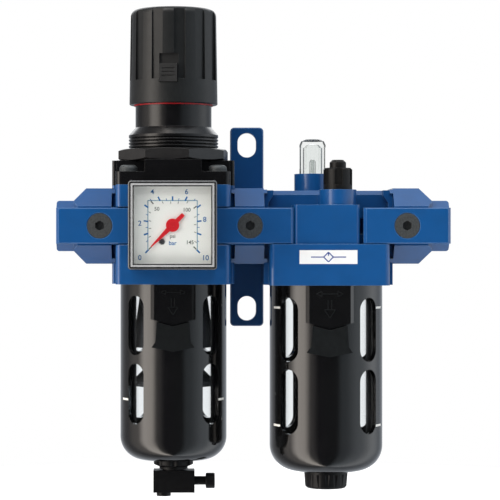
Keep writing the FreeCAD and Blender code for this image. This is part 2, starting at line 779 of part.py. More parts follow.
def make_valve():
    body = new_body("valve_poppet", x=fil_x)
    face = D.seat_low - 0.02
    back = face - D.valve_thick
    tail_end = D.valve_low + 2
    lathe(body, [(0, D.plate_low), (D.valve_stem, D.plate_low), (D.valve_stem, face), (D.valve_r, face),
                 (D.valve_r, back), (D.valve_tail, back), (D.valve_tail, tail_end), (0, tail_end)])
    holder = new_body("valve_guide", x=fil_x)
    bore = D.valve_tail + D.fit
    shelf = D.seat_low - D.valve_thick - 6.2
    flange = D.holder_low - D.holder_flange
    tip = D.element_low - D.baffle_thick - D.rod_tip
    lathe(holder, [(bore, shelf), (D.holder_bore - D.hair, shelf), (D.holder_bore - D.hair, D.holder_low),
                   (D.holder_boss, D.holder_low), (D.holder_boss, flange), (D.rod_r, flange), (D.rod_r, tip),
                   (0, tip), (0, D.valve_low - 2), (bore, D.valve_low - 2)])
    vent = pocket(holder, "XY_Plane", flange - 1, shelf - flange + 2, circles=[(5.6, 0, 1.3)])
    polar(holder, vent, 6)
    coil("valve_spring", fil_x, 4.4, 0.45, shelf, back, 3.5)


def make_filter_inside():
    top = D.holder_low - D.holder_flange
    under = top - D.skirt_thick
    bowl_r = D.fil_guard_r - D.wall - D.bowl_gap
    inner_r = bowl_r - D.bowl_wall
    bore = D.rod_r + D.hair
    skirt = new_body("swirl_deflector", x=fil_x)
    upper_r = bowl_r - 2 * D.seal_r - D.neck_wall - D.skirt_lean
    lower_r = inner_r - D.skirt_gap
    lathe(skirt, [(bore, top), (upper_r, top), (lower_r, D.skirt_low), (lower_r - 1, D.skirt_low),
                  (upper_r - 0.8, under), (bore, under)])
    slit = pocket(skirt, "XZ_Plane", upper_r - 3, 9, outlines=[box_outline(-0.9, 0.9, top - 9, top - 2.4)])
    polar(skirt, slit, 16)
    element = new_body("filter_element", x=fil_x)
    outer = upper_r - D.element_gap
    inner = outer - D.element_wall
    lathe(element, [(inner, under), (outer, under), (outer, D.element_low), (inner, D.element_low)])
    baffle = new_body("quiet_zone_baffle", x=fil_x)
    rim_r = inner_r - D.baffle_gap
    rim_low = D.element_low - D.baffle_drop
    low = D.element_low - D.baffle_thick
    lathe(baffle, [(bore, D.element_low), (outer + 0.8, D.element_low), (rim_r, rim_low + D.baffle_rim),
                   (rim_r, rim_low), (outer, low), (bore, low)])
    fin = pad(baffle, "XY_Plane", D.fin_low, low - D.fin_low + 0.6,
              outlines=[box_outline(bore + D.fin_gap, outer - 1, -0.7, 0.7)])
    polar(baffle, fin, 4)


# ---------------------------------------------------------------- bowls and guards

def make_bowl(label, x, guard_r, base, low, corner, hole):
    """Clear bowl: a cup with a stepped neck for its O-ring and a hole in its floor."""
    body = new_body(label, x=x)
    outer = guard_r - D.wall - D.bowl_gap
    neck = outer - 2 * D.seal_r
    top = D.socket_top - 0.3
    step = top - 4.5
    floor = low + D.wall + D.bowl_gap
    inner = outer - D.bowl_wall
    inside = floor + D.bowl_wall
    throat = neck - D.neck_wall
    lathe(body, [(hole, floor), (outer, floor), (outer, step), (neck, step), (neck, top), (throat, top),
                 (throat, base), (inner, base - 3), (inner, inside), (hole, inside)])
    rounding = corner - D.wall - D.bowl_gap
    dress(body, "Fillet", rounding, ring_edge(outer, floor))
    dress(body, "Fillet", rounding - D.bowl_wall, ring_edge(inner, inside))
    ring = new_body(label + "_oring", x=x)
    sketch = sketch_on(ring, "XZ_Plane")
    draw_circle(sketch, neck + D.seal_r, step + D.seal_r, D.seal_r)
    turned = ring.newObject("PartDesign::Revolution", ring.Label + "_revolution")
    turned.Profile = (sketch, [""])
    turned.ReferenceAxis = (sketch, ["V_Axis"])
    turned.Angle = 360


def make_guard(label, x, guard_r, base, low, corner, slot_r, windows, hole, scale):
    """Metal bowl guard: bayonet neck with three lugs, eight windows, and a flat pad for the lock button."""
    body = new_body(label, x=x)
    inner = guard_r - D.wall
    neck = guard_r - D.neck_step
    top = base - D.hair
    neck_top = base + D.neck_high
    lathe(body, [(hole, low), (guard_r, low), (guard_r, top), (neck, top), (neck, neck_top), (inner, neck_top),
                 (inner, low + D.wall), (hole, low + D.wall)])
    dress(body, "Fillet", corner, ring_edge(guard_r, low))
    dress(body, "Fillet", corner - D.wall, ring_edge(inner, low + D.wall))
    lug = pad(body, "XY_Plane", neck_top - D.lug_high, D.lug_high,
              outlines=[box_outline(-D.lug_half, D.lug_half, -guard_r + D.lug_step + 0.4, -inner)])
    polar(body, lug, 3)
    face = guard_r + D.pad_proud
    half = 10.3 * scale
    tab = [(-half, top), (-half, base - 16.0 * scale), (0, base - 18.4 * scale), (half, base - 16.0 * scale),
           (half, top)]
    pad(body, "XZ_Plane", inner + 0.2, face - inner - 0.2, outlines=[tab])
    dress(body, "Chamfer", D.pad_bevel, lambda box: near(box.YMin, -face) and near(box.YMax, -face)
          and box.XLength < 0.02)
    slots = [(0, bottom + slot_r, head - slot_r, slot_r) for head, bottom in windows]
    window = pocket(body, "XZ_Plane", inner / 2, guard_r, turn=45, slots=slots)
    polar(body, window, 4)
    tongue = 3.8 * scale + D.fit
    pocket(body, "XZ_Plane", inner - 2, 6,
           outlines=[box_outline(-tongue, tongue, base - 29.0 * scale, base - 20.0 * scale)])


def make_lock_button(label, x, guard_r, base, scale):
    """Thumb button that slides down the guard's front."""
    body = new_body(label, x=x)
    top_half = 7.45 * scale
    low_half = 8.1 * scale
    lip_half = 9.8 * scale
    corner = base - 17.2 * scale
    low = base - 28.8 * scale
    waist = low + 2.4 * scale
    skin = guard_r + D.fit * 2
    shape = [(-top_half, corner), (-low_half, waist), (-lip_half, low), (0, low - 2.0 * scale), (lip_half, low),
             (low_half, waist), (top_half, corner), (0, corner - 2.0 * scale)]
    pad(body, "XZ_Plane", guard_r - 4, 6.0, outlines=[shape])
    lathe(body, [(0, base), (skin, base), (skin, low - 5), (0, low - 5)], kind="Groove")
    tongue = 3.8 * scale
    pad(body, "XZ_Plane", guard_r - D.wall - 0.3, D.wall + 1.6,
        outlines=[box_outline(-tongue, tongue, base - 23.5 * scale, base - 20.6 * scale)])


def make_drain():
    nut = new_body("drain_nut", x=fil_x)
    top = D.fil_guard_low - D.hair
    low = block_top + 0.6
    lathe(nut, [(D.drain_r + D.hair, top), (D.drain_nut_r, top), (D.drain_nut_r, top - 2.4),
                (D.drain_nut_r - 2.7, top - 3.6), (D.drain_nut_r - 2.7, low), (D.drain_r + D.hair, low)])
    grip = pocket(nut, "XY_Plane", low - 1, top - low + 0.4, circles=[(D.drain_nut_r + 0.8, 0, 1.9)])
    polar(nut, grip, 8)
    body = new_body("drain_body", x=fil_x)
    bowl_floor = D.fil_guard_low + D.wall + D.bowl_gap + D.bowl_wall
    head = bowl_floor + D.hair
    lathe(body, [(1.8, head + 2.2), (7.5, head + 2.2), (7.5, head), (D.drain_r, head),
                 (D.drain_r, block_top - 1), (1.8, block_top - 1)])
    pad(body, "XY_Plane", block_low, D.block_high,
        outlines=[box_outline(-D.block_left, D.block_right, -D.block_half, D.block_half)])
    dress(body, "Chamfer", 0.5, upright(D.block_right, D.block_half))
    pad(body, "XY_Plane", spout_low, D.spout_long, circles=[(D.spout_x, 0, D.spout_r)])
    pocket(body, "XY_Plane", cross_z, head - cross_z, circles=[(0, 0, 1.8)])
    pocket(body, "XY_Plane", spout_low - 1, cross_z - spout_low + 1, circles=[(D.spout_x, 0, 1.7)])
    sketch = sketch_on(body, "YZ_Plane", start=D.spout_x - 2.2)
    draw_circle(sketch, 0, cross_z, D.cross_r)
    cross = body.newObject("PartDesign::Pocket", "drain_cross_bore")
    cross.Profile = (sketch, [""])
    cross.Reversed = True
    cross.Length = number(D.block_right - D.spout_x + 4)
    bind(cross, "Length", D.block_right - D.spout_x + 4)
    pin = new_body("drain_pin", x=fil_x, z=cross_z)
    stem = D.cross_r - D.hair
    lathe(pin, [(-2.4, 0), (-1.6, stem * 0.6), (-1.6, stem), (2.4, stem), (2.4, 0)],
          plane="XY_Plane", axis="H_Axis")
    screw = new_body("drain_thumbscrew", x=fil_x, z=cross_z)
    shoulder = D.block_right + 5.2
    lathe(screw, [(2.45, 0), (2.45, stem), (shoulder, stem), (shoulder, 3.3), (shoulder + 0.4, 3.65),
                  (shoulder + 3.9, 3.65), (shoulder + 4.3, 3.3), (shoulder + 4.3, 0)],
          plane="XY_Plane", axis="H_Axis")


# ---------------------------------------------------------------- gauge

def gear_points(teeth, module, start_tooth, tooth_count, phase, stub=0.8, root_gap=0.3, play=0.05):
    """Involute tooth outline, counter-clockwise, for part or all of a spur gear."""
    pitch_r = module * teeth / 2
    base_r = pitch_r * math.cos(math.radians(20))
    tip_r = pitch_r + module * stub
    root_r = pitch_r - module * (stub + root_gap)
    half = math.pi / (2 * teeth) - play / (2 * pitch_r)

    def spread(radius):
        if radius <= base_r:
            return half + math.tan(math.radians(20)) - math.radians(20)
        angle = math.acos(base_r / radius)
        return half + math.tan(math.radians(20)) - math.radians(20) - (math.tan(angle) - angle)

    steps = [root_r] + [max(base_r, root_r) + (tip_r - max(base_r, root_r)) * i / 3 for i in range(4)]
    points = []
    for i in range(start_tooth, start_tooth + tooth_count):
        middle = phase + 2 * math.pi * i / teeth
        for radius in steps:
            points.append((radius, middle - spread(radius)))
        for radius in reversed(steps):
            points.append((radius, middle + spread(radius)))
    return [(radius * math.cos(angle), radius * math.sin(angle)) for radius, angle in points]


def plate_of(points, depth, thick):
    """Flat solid of an outline in the gauge's face plane, from depth towards the front."""
    corners = [FreeCAD.Vector(x, -depth, z) for x, z in points]
    face = Part.Face(Part.makePolygon(corners + corners[:1]))
    return face.extrude(FreeCAD.Vector(0, -thick, 0))


def rod(x, z, radius, depth, long):
    """Round bar that runs from a depth towards the front."""
    return Part.makeCylinder(radius, long, FreeCAD.Vector(x, -depth, z), FreeCAD.Vector(0, -1, 0))


def add_shape(label, shape, x):
    """A sub-part whose toothed or bent shape is worked out from formulas."""
    item = doc.addObject("Part::Feature", label)
    item.Label = label
    item.Shape = shape
    item.Placement.Base = FreeCAD.Vector(number(x), -number(D.wall_gap), 0)
    bind(item, "Placement.Base.x", x)
    bind(item, "Placement.Base.y", -D.wall_gap)
    nodes.append(item)


PINION_TEETH = 12
SECTOR_TEETH = 60
NEEDLE_ZERO = math.radians(225)       # the needle rests at the lower left


def make_gauge_movement():
    module = number(D.tooth_module)
    back = number(D.gear_back)
    thick = number(D.gear_thick)
    reach = module * (PINION_TEETH + SECTOR_TEETH) / 2
    line = math.radians(45)           # direction from the sector's pivot to the pinion
    pivot_x = -reach * math.cos(line)
    pivot_z = -reach * math.sin(line)
    hole, arbor = 0.5, 0.8
    plate_low = back + thick + 1.0
    dial_back = number(D.dial_front) - number(D.dial_thick)

    pinion_turn = line + math.pi + math.pi / PINION_TEETH
    teeth = plate_of(gear_points(PINION_TEETH, module, 0, PINION_TEETH, pinion_turn), back, thick)
    shaft = rod(0, 0, arbor, back - 3, number(D.dial_front + D.needle_gap) - back + 3)
    add_shape("gauge_pinion", teeth.fuse(shaft), fil_x)

    half_span = 7
    drop = 4.5                         # teeth from the sector's middle to the one in mesh at rest
    middle = line - 2 * math.pi * drop / SECTOR_TEETH
    arc = gear_points(SECTOR_TEETH, module, -half_span, 2 * half_span, line - 2 * math.pi * 5 / SECTOR_TEETH)
    hub = 2.0
    turns = [middle + math.radians(a) for a in (110, 145, 180, 215, 250)]
    body_points = arc + [(hub * math.cos(a), hub * math.sin(a)) for a in turns]
    sector = plate_of([(x + pivot_x, z + pivot_z) for x, z in body_points], back, thick)
    sector = sector.fuse(rod(pivot_x, pivot_z, arbor, back - 3, thick + 3.9))
    add_shape("gauge_sector", sector, fil_x)

    side = 14.5
    plates = []
    for depth in (back - 3.2, plate_low):
        plate = Part.makeBox(2 * side, 1.0, 2 * side, FreeCAD.Vector(-side, -depth - 1.0, -side))
        for x, z in ((0, 0), (pivot_x, pivot_z)):
            plate = plate.cut(rod(x, z, arbor + 0.05, depth - 1, 3))
        plates.append(plate)
    posts = [rod(x, z, 1.2, number(D.front) + 2.0, plate_low + 0.5 - number(D.front) - 2.0)
             for x in (-13, 13) for z in (13,)]
    posts.append(rod(13, -13, 1.2, number(D.front) + 2.0, plate_low + 0.5 - number(D.front) - 2.0))
    frame = plates[0].multiFuse(plates[1:] + posts)
    add_shape("gauge_movement_frame", frame, fil_x)

    tube_depth = number(D.front) + 5.0
    ring = Part.makeTorus(10.5, 1.3, FreeCAD.Vector(0, -tube_depth, 0), FreeCAD.Vector(0, -1, 0), 0, 360, 250)
    ring.rotate(FreeCAD.Vector(0, -tube_depth, 0), FreeCAD.Vector(0, 1, 0), 90)
    socket = rod(0, 0, number(D.gauge_port) - 0.05, 14, number(D.front) + 1.0 - 14)
    socket = socket.cut(rod(0, 0, 1.5, 13, number(D.front) - 11))
    add_shape("bourdon_tube", ring, fil_x)
    add_shape("gauge_socket", socket, fil_x)


def make_gauge_case():
    case = new_body("gauge_case", x=fil_x)
    half = D.gauge_half - 0.2
    pad(case, "XZ_Plane", D.front, D.gauge_split - D.front, outlines=[box_outline(-half, half, -half, half)])
    inner = half - 2.0
    pocket(case, "XZ_Plane", D.front + 2.0, D.gauge_split, outlines=[box_outline(-inner, inner, -inner, inner)])
    pocket(case, "XZ_Plane", D.front - 1, 4, circles=[(0, 0, D.gauge_port + D.hair)])
    bezel = new_body("gauge_bezel", x=fil_x)
    full = D.gauge_half
    pad(bezel, "XZ_Plane", D.gauge_split, D.gauge_front - D.gauge_split,
        outlines=[box_outline(-full, full, -full, full)])
    dress(bezel, "Fillet", 1.5, lambda box: box.YLength > 1)
    dress(bezel, "Fillet", 0.6, lambda box: near(box.YMin, -D.gauge_front) and near(box.YMax, -D.gauge_front))
    window = full - D.gauge_rim
    pocket(bezel, "XZ_Plane", D.gauge_split - 1, D.gauge_front,
           outlines=[box_outline(-window, window, -window, window)])
    rebate = window + 0.8
    pocket(bezel, "XZ_Plane", D.gauge_split - 1, D.gauge_front - D.gauge_split - 0.2,
           outlines=[box_outline(-rebate, rebate, -rebate, rebate)])
    lens = new_body("gauge_lens", x=fil_x)
    glass = rebate - D.hair
    back = D.gauge_front - 2.6
    pad(lens, "XZ_Plane", back, 1.4, outlines=[box_outline(-glass, glass, -glass, glass)])
    dial = new_body("gauge_dial", x=fil_x)
    card = inner - D.hair
    pad(dial, "XZ_Plane", D.dial_front - D.dial_thick, D.dial_thick,
        outlines=[box_outline(-card, card, -card, card)], circles=[(0, 0, 1.3)])
    stop = new_body("gauge_zero_stop", x=fil_x)
    head = D.needle_gap - 0.15
    lathe(stop, [(0, -D.dial_front - head), (D.stop_r - 0.2, -D.dial_front - head),
                 (D.stop_r, -D.dial_front - head + 0.2), (D.stop_r, -D.dial_front), (0, -D.dial_front)],
          plane="XY_Plane", start=-D.stop_down, aside=-D.stop_aside)
    gasket = new_body("gauge_gasket", x=fil_x)
    rim = D.channel_half - 0.2
    lathe(gasket, [(D.gauge_port + D.hair, -D.front), (rim, -D.front), (rim, -D.seat),
                   (D.gauge_port + D.hair, -D.seat)], plane="XY_Plane")


def make_needle():
    back = number(D.dial_front + D.needle_gap)
    thick = number(D.needle_thick)
    tip, tail = number(D.hand_long), number(D.hand_tail)
    shape = [(tip, -0.25), (tip, 0.25), (2.4, 1.1), (-tail, 0.87), (-tail, -0.87), (2.4, -1.1)]
    needle = plate_of(shape, back, thick).fuse(rod(0, 0, number(D.hand_hub), back, thick))
    needle = needle.fuse(rod(0, 0, 0.75, back, thick + 0.5))
    needle.rotate(FreeCAD.Vector(0, 0, 0), FreeCAD.Vector(0, 1, 0), -math.degrees(NEEDLE_ZERO))
    add_shape("gauge_needle", needle, fil_x)


# ---------------------------------------------------------------- ports, bracket and clamps

def corner_cuts(body, half_long, start):
    """Cut the two front corners and the two rear corners of a block, all along X."""
    high, deep = D.joint_high + 2, D.seat + 2
    corner = D.joint_high - D.slope
    inner = D.seat - D.slope
    cuts = []
    for side in (-1, 1):
        cuts.append([(-D.seat, side * corner), (-deep, side * (corner - 2)), (-deep, side * high),
                     (-inner + 2, side * high), (-inner, side * D.joint_high)])
        cuts.append([(D.seat, side * corner), (deep, side * (corner - 2)), (deep, side * high),
                     (inner - 2, side * high), (inner, side * D.joint_high)])
    pocket(body, "YZ_Plane", start, half_long, outlines=cuts)


def seal_groove(body, start):
    """Square groove round the air way, from start towards +X."""
    pocket(body, "YZ_Plane", start, D.seal_deep,
           circles=[(0, 0, D.seal_bore + D.seal_wide), (0, 0, D.seal_bore)])


def ears(body, joint, side):
    """Small lugs past the joint face at joint, on the upper and the lower front slope."""
    reach = D.seat + D.joint_high - D.slope
    back = D.ledge + D.hair
    shapes = [[(-back, z * D.ear_low), (D.ear_low - reach, z * D.ear_low), (D.ear_high - reach, z * D.ear_high),
               (-back, z * D.ear_high)] for z in (-1, 1)]
    start = joint - D.ear_long if side < 0 else joint - 1
    pad(body, "YZ_Plane", start, D.ear_long + 1, outlines=shapes)


def make_port(label, side, face, clamp):
    """Octagonal port block; side is -1 at the inlet and +1 at the outlet."""
    body = new_body(label, x=face)
    full, slope_end, end = D.port_full, D.port_full + D.port_slope, D.port_long
    outline = [(0, -D.joint_high), (side * full, -D.joint_high), (side * slope_end, -D.end_high),
               (side * end, -D.end_high), (side * end, D.end_high), (side * slope_end, D.end_high),
               (side * full, D.joint_high), (0, D.joint_high)]
    pad(body, "XZ_Plane", -D.seat, 2 * D.seat, outlines=[outline])
    start = -D.port_long - 1 if side < 0 else 0 * D.port_long - 1
    corner_cuts(body, D.port_long + 2, start)
    front = D.seat - D.port_step
    step = slope_end - D.port_step
    pocket(body, "XY_Plane", -D.joint_high - 1, 2 * D.joint_high + 2, outlines=[
        [(side * step, -D.seat), (side * slope_end, -front), (side * (end + 1), -front),
         (side * (end + 1), -D.seat - 1), (side * step, -D.seat - 1)]])
    corner = D.joint_high - D.slope - D.port_step * (math.sqrt(2) - 1)
    high = D.end_high + 2
    narrow = D.port_long - slope_end + 1
    pocket(body, "YZ_Plane", -D.port_long - 1 if side < 0 else slope_end, narrow, outlines=[
        [(-front, z * corner), (-D.seat, z * corner), (-D.seat, z * high), (high - corner - front, z * high)]
        for z in (-1, 1)])
    dress(body, "Fillet", D.port_round, lambda box: box.XLength < 0.02 and near(abs(box.Center.x), end)
          and near(abs(box.Center.z), D.end_high) and box.YLength > 5)
    mouth = -D.port_long - 1 if side < 0 else D.port_long - D.port_deep
    pocket(body, "YZ_Plane", mouth, D.port_deep + 1, circles=[(0, 0, D.port_r)])
    pocket(body, "YZ_Plane", start, D.port_long + 2, circles=[(0, 0, D.flow_bore)])
    seal_groove(body, -D.seal_deep if side < 0 else 0 * D.seal_deep)
    middle = clamp_xs[clamp] - face
    pocket(body, "XZ_Plane", D.seat - D.clamp_deep, D.clamp_deep + 1, circles=[(middle, 0, D.clamp_screw)])
    key_slots(body, face, [(clamp, side)])
    ears(body, 0 * D.port_long, -side)


def make_bracket():
    body = new_body("mounting_bracket")
    half = D.joint_half
    pad(body, "XZ_Plane", -D.wall_gap + D.strap_thick - 1, D.wall_gap + D.seat - D.strap_thick + 1,
        outlines=[box_outline(-half, half, -D.joint_high, D.joint_high)])
    high, deep = D.joint_high + 2, D.seat + 2
    corner = D.joint_high - D.slope
    inner = D.seat - D.slope
    cuts = [[(-D.seat, side * corner), (-deep, side * (corner - 2)), (-deep, side * high),
             (-inner + 2, side * high), (-inner, side * D.joint_high)] for side in (-1, 1)]
    pocket(body, "YZ_Plane", -half - 1, 2 * half + 2, outlines=cuts)
    pad(body, "XZ_Plane", -D.wall_gap, D.strap_thick,
        outlines=[box_outline(-D.strap_half, D.strap_half, -D.strap_high, D.strap_high)])

    def strap_corner(box):
        outside = near(abs(box.Center.x), D.strap_half) and near(abs(box.Center.z), D.strap_high)
        return outside and box.YLength > 3
    dress(body, "Fillet", 2.0, strap_corner)
    reach = D.slot_long / 2 - D.slot_r
    offset = D.slot_span / 2
    pocket(body, "XZ_Plane", -D.wall_gap - 1, D.strap_thick + 2, slots=[
        (0, side * offset - reach, side * offset + reach, D.slot_r) for side in (-1, 1)])
    face = D.wall_gap - D.strap_thick
    outer = D.strap_high

    def strap_rim(box):
        outside = near(abs(box.Center.x), D.strap_half) or near(abs(box.Center.z), outer)
        return outside and near(box.YMin, face) and near(box.YMax, face)
    dress(body, "Chamfer", D.strap_bevel, strap_rim)
    pocket(body, "YZ_Plane", -half - 1, 2 * half + 2, circles=[(0, 0, D.flow_bore)])
    seal_groove(body, -half)
    seal_groove(body, half - D.seal_deep)
    pocket(body, "XZ_Plane", D.seat - D.clamp_deep, D.clamp_deep + 1, circles=[(0, 0, D.clamp_screw)])
    ears(body, -half, -1)
    ears(body, half, 1)


def make_clamp(name):
    body = new_body(name + "_clamp_plate", x=clamp_xs[name])
    pad(body, "XZ_Plane", D.seat, D.plate_front - D.seat,
        outlines=[box_outline(-D.plate_half, D.plate_half, -D.plate_high, D.plate_high)])
    dress(body, "Chamfer", 1.2, lambda box: near(box.YMin, -D.plate_front) and near(box.YMax, -D.plate_front)
          and box.XLength < 0.02)
    dress(body, "Chamfer", 0.4, lambda box: near(box.YMin, -D.plate_front) and near(box.YMax, -D.plate_front)
          and box.XLength > 9)
    for side in (-1, 1):
        middle = side * D.plate_key
        pad(body, "XZ_Plane", D.seat - D.key_deep, D.key_deep, outlines=[
            box_outline(middle - D.key_half, middle + D.key_half, -D.key_high, D.key_high)])
    sink = D.clamp_head + 0.3
    lathe(body, [(0, -D.plate_front - 0.3), (sink, -D.plate_front - 0.3), (sink, -D.plate_front),
                 (D.clamp_screw + 0.2, -D.plate_front + 3.2), (D.clamp_screw + 0.2, -D.seat + 1),
                 (0, -D.seat + 1)], kind="Groove", plane="XY_Plane")


def make_clamp_screws():
    body = new_body("clamp_screws")
    tip = D.seat - D.clamp_deep + 0.5
    top = -D.plate_front
    bar = D.clamp_screw - D.hair
    for x in clamp_xs.values():
        lathe(body, [(0, top), (D.clamp_head, top), (D.clamp_head, top + 0.3), (bar, top + 3.3),
                     (bar, -tip), (0, -tip)], plane="XY_Plane", aside=x)
        shape = [(x + a, b) for a, b in hexagon(D.socket_flats, 6, 90)]
        pocket(body, "XZ_Plane", D.plate_front - 2.6, 4, outlines=[shape])


def make_module_seals():
    body = new_body("module_seals")
    faces = (fil_face - D.seal_deep, -D.joint_half, D.joint_half - D.seal_deep, lub_face)
    for start in faces:
        pad(body, "YZ_Plane", start, D.seal_deep,
            circles=[(0, 0, D.seal_bore + D.seal_wide), (0, 0, D.seal_bore)])


def make_rear_plug():
    body = new_body("rear_port_plug", x=fil_x, z=3)
    lathe(body, [(0, D.rear - 8), (4.25, D.rear - 8), (4.25, D.rear), (6.6, D.rear), (6.6, D.rear + 2.2),
                 (0, D.rear + 2.2)], plane="XY_Plane")
    pocket(body, "XZ_Plane", -D.rear - 2.7, 2.7, outlines=[hexagon(D.socket_flats, 6, 90)])


# ---------------------------------------------------------------- lubricator

def make_lubricator_body():
    body = new_body("lubricator_body", x=lub_x)
    plan = plan_outline(D.lub_left, D.lub_right, lub_front_half)
    pad(body, "XY_Plane", D.lub_base, D.lub_shelf - D.lub_base, outlines=[plan])
    dress(body, "Fillet", D.pad_round, upright(lub_front_half, -D.front))
    section = [(D.rear, D.lub_shelf - 1), (D.rear, D.lub_top - 3), (D.rear - 3, D.lub_top),
               (-D.ledge, D.lub_top), (-D.ledge, D.lub_shelf - 1)]
    pad(body, "YZ_Plane", -D.lub_left, D.lub_left + D.lub_right, outlines=[section])
    left, right = D.flange - D.lub_left, D.lub_right - D.flange
    bend = D.recess_bend + D.recess_lean_z
    pocket(body, "XZ_Plane", D.recess_depth, D.seat - D.recess_depth + 1, outlines=[
        [(left, D.lub_shelf), (right, D.lub_shelf), (right, D.recess_bend), (right - D.recess_lean_x, bend),
         (right - D.recess_lean_x, D.lub_top + 1), (left + D.recess_lean_x, D.lub_top + 1),
         (left + D.recess_lean_x, bend), (left, D.recess_bend)]])
    dress(body, "Chamfer", D.recess_bevel, lambda box: near(box.ZMin, D.lub_top) and box.ZLength < 0.02
          and near(box.YMin, -D.recess_depth) and near(box.YMax, -D.recess_depth) and box.XLength > 9)
    pad(body, "XZ_Plane", D.recess_depth - 1, D.seat - D.recess_depth + 1, outlines=[
        box_outline(-D.lub_left, D.seat_long - D.lub_left, -D.plate_high, D.plate_high),
        box_outline(D.lub_right - D.seat_long, D.lub_right, -D.plate_high, D.plate_high)])
    pad(body, "XY_Plane", D.lub_shelf - 1, D.boss_top - D.lub_shelf + 1,
        outlines=[box_outline(-D.boss_left, D.boss_right, -D.boss_front, 1 - D.recess_depth)])
    for corner in (D.boss_left, D.boss_right):
        dress(body, "Fillet", 2.0, upright(corner, -D.boss_front))
    pad(body, "XY_Plane", D.boss_top - 1, D.plug_boss_top - D.boss_top + 1,
        circles=[(D.plug_x, -D.plug_depth, D.plug_boss_r)])
    pad(body, "XY_Plane", D.lub_top - 1, D.dome_base - D.lub_top + 1,
        circles=[(D.dome_x, -D.dome_depth, D.dome_boss_r)])
    pocket(body, "YZ_Plane", -D.lub_left - 1, D.lub_left + D.lub_right + 2, circles=[(0, 0, D.flow_bore)])
    lathe(body, [(0, D.socket_top)] + socket_profile(D.socket_top, D.lub_base, D.lub_guard_r), kind="Groove")
    lug_entries(body, D.lub_base, D.lub_guard_r)
    pocket(body, "XY_Plane", D.socket_top - 1, D.plug_boss_top - D.socket_top + 2,
           circles=[(D.plug_x, -D.plug_depth, D.plug_stem + D.hair)])
    pocket(body, "XY_Plane", 12, D.dome_base, circles=[(D.dome_x, -D.dome_depth, D.dome_stem + D.fit)])
    pocket(body, "XY_Plane", 0, 13, circles=[(D.dome_x, -D.dome_depth, 1.2)])
    pocket(body, "XY_Plane", D.socket_top - 1, 10 - D.socket_top,
           circles=[(D.dome_x, -D.siphon_depth, D.siphon_r + D.hair)])
    pocket(body, "XZ_Plane", -8, 16, circles=[(0, 5, 0.6)])
    key_slots(body, lub_x, [("centre", 1), ("outlet", -1)])


def make_lubricator_top():
    dome = new_body("sight_dome", x=lub_x + D.dome_x, depth=D.dome_depth)
    low = D.dome_base + D.hair
    stem_low = low - 6
    lathe(dome, [(4.6, stem_low), (D.dome_stem, stem_low), (D.dome_stem, low), (D.dome_r, low),
                 (D.dome_r, D.dome_top - 2.6), (D.dome_r - 0.8, D.dome_top - 0.8), (D.dome_r - 2.6, D.dome_top),
                 (0, D.dome_top), (0, D.dome_top - 2.0), (3.2, D.dome_top - 2.6), (4.6, D.dome_top - 4.0)])
    flat = pocket(dome, "XY_Plane", low + 2.4, D.dome_top - low - 6,
                  outlines=[box_outline(-1.4, 1.4, -D.dome_r - 1, 0.45 - D.dome_r)])
    polar(dome, flat, 8)
    nozzle = new_body("drip_nozzle", x=lub_x + D.dome_x, depth=D.dome_depth)
    lathe(nozzle, [(0.8, 12), (D.dome_stem, 12), (D.dome_stem, 16), (3.2, 18.5), (1.5, 22), (1.5, 30.5),
                   (0.8, 31.5)])
    plug = new_body("fill_plug", x=lub_x + D.plug_x, depth=D.plug_depth)
    seat = D.plug_boss_top + D.hair
    well = D.plug_top - D.button_travel - 0.6
    lathe(plug, [(1.6, 6), (D.plug_stem, 6), (D.plug_stem, seat), (D.plug_r, seat),
                 (D.plug_r, D.plug_top - 0.8), (D.plug_r - 0.8, D.plug_top), (D.button_r + 0.2, D.plug_top),
                 (D.button_r + 0.2, well), (1.6, well)])
    half = D.plug_flute / 2
    groove = pocket(plug, "XY_Plane", seat + 2.2, D.plug_top,
                    outlines=[box_outline(-half, half, -D.plug_r - 1, 0.75 - D.plug_r)])
    polar(plug, groove, 6)
    button = new_body("vent_button", x=lub_x + D.plug_x, depth=D.plug_depth)
    under = D.plug_top - 0.4
    lathe(button, [(0, 8), (1.5, 8), (1.5, under), (D.button_r, under), (D.button_r, D.button_top - 1.2),
                   (D.button_r - 1.2, D.button_top), (0, D.button_top)])
    vane = new_body("flow_vane", x=lub_x)
    pad(vane, "YZ_Plane", -0.45, 0.9,
        outlines=[[(-3.6, -5.6), (3.6, -5.6), (4.0, 4.6), (1.5, 6.0), (-1.5, 6.0), (-4.0, 4.6)]])
    pad(vane, "XZ_Plane", -6.5, 13, circles=[(0, 5, 0.55)])
    tube = new_body("siphon_tube", x=lub_x + D.dome_x, depth=D.siphon_depth)
    lathe(tube, [(1.0, 8), (D.siphon_r, 8), (D.siphon_r, siphon_low), (1.0, siphon_low)])
    strainer = new_body("siphon_strainer", x=lub_x + D.dome_x, depth=D.siphon_depth)
    low = siphon_low - D.hair
    bore = D.siphon_r + D.hair
    lathe(strainer, [(bore, low + 4), (D.strainer_r, low + 4), (D.strainer_r, low - 4), (0, low - 4), (0, low),
                     (bore, low)])


def make_bottom_plug():
    body = new_body("bottom_plug", x=lub_x)
    top = D.lub_guard_low - D.hair
    low = D.lub_guard_low - D.bottom_plug_high
    stem_top = D.lub_guard_low + D.wall + D.bowl_gap + D.bowl_wall + 2
    lathe(body, [(0, low), (D.bottom_plug_r - 1.4, low), (D.bottom_plug_r - 0.6, low + 0.8),
                 (D.bottom_plug_r, top), (D.drain_r, top), (D.drain_r, stem_top), (0, stem_top)])
    flute = pocket(body, "XY_Plane", low - 1, top - low - 0.6, circles=[(D.bottom_plug_r + 0.8, 0, 1.5)])
    polar(body, flute, 16)


# ---------------------------------------------------------------- assembly

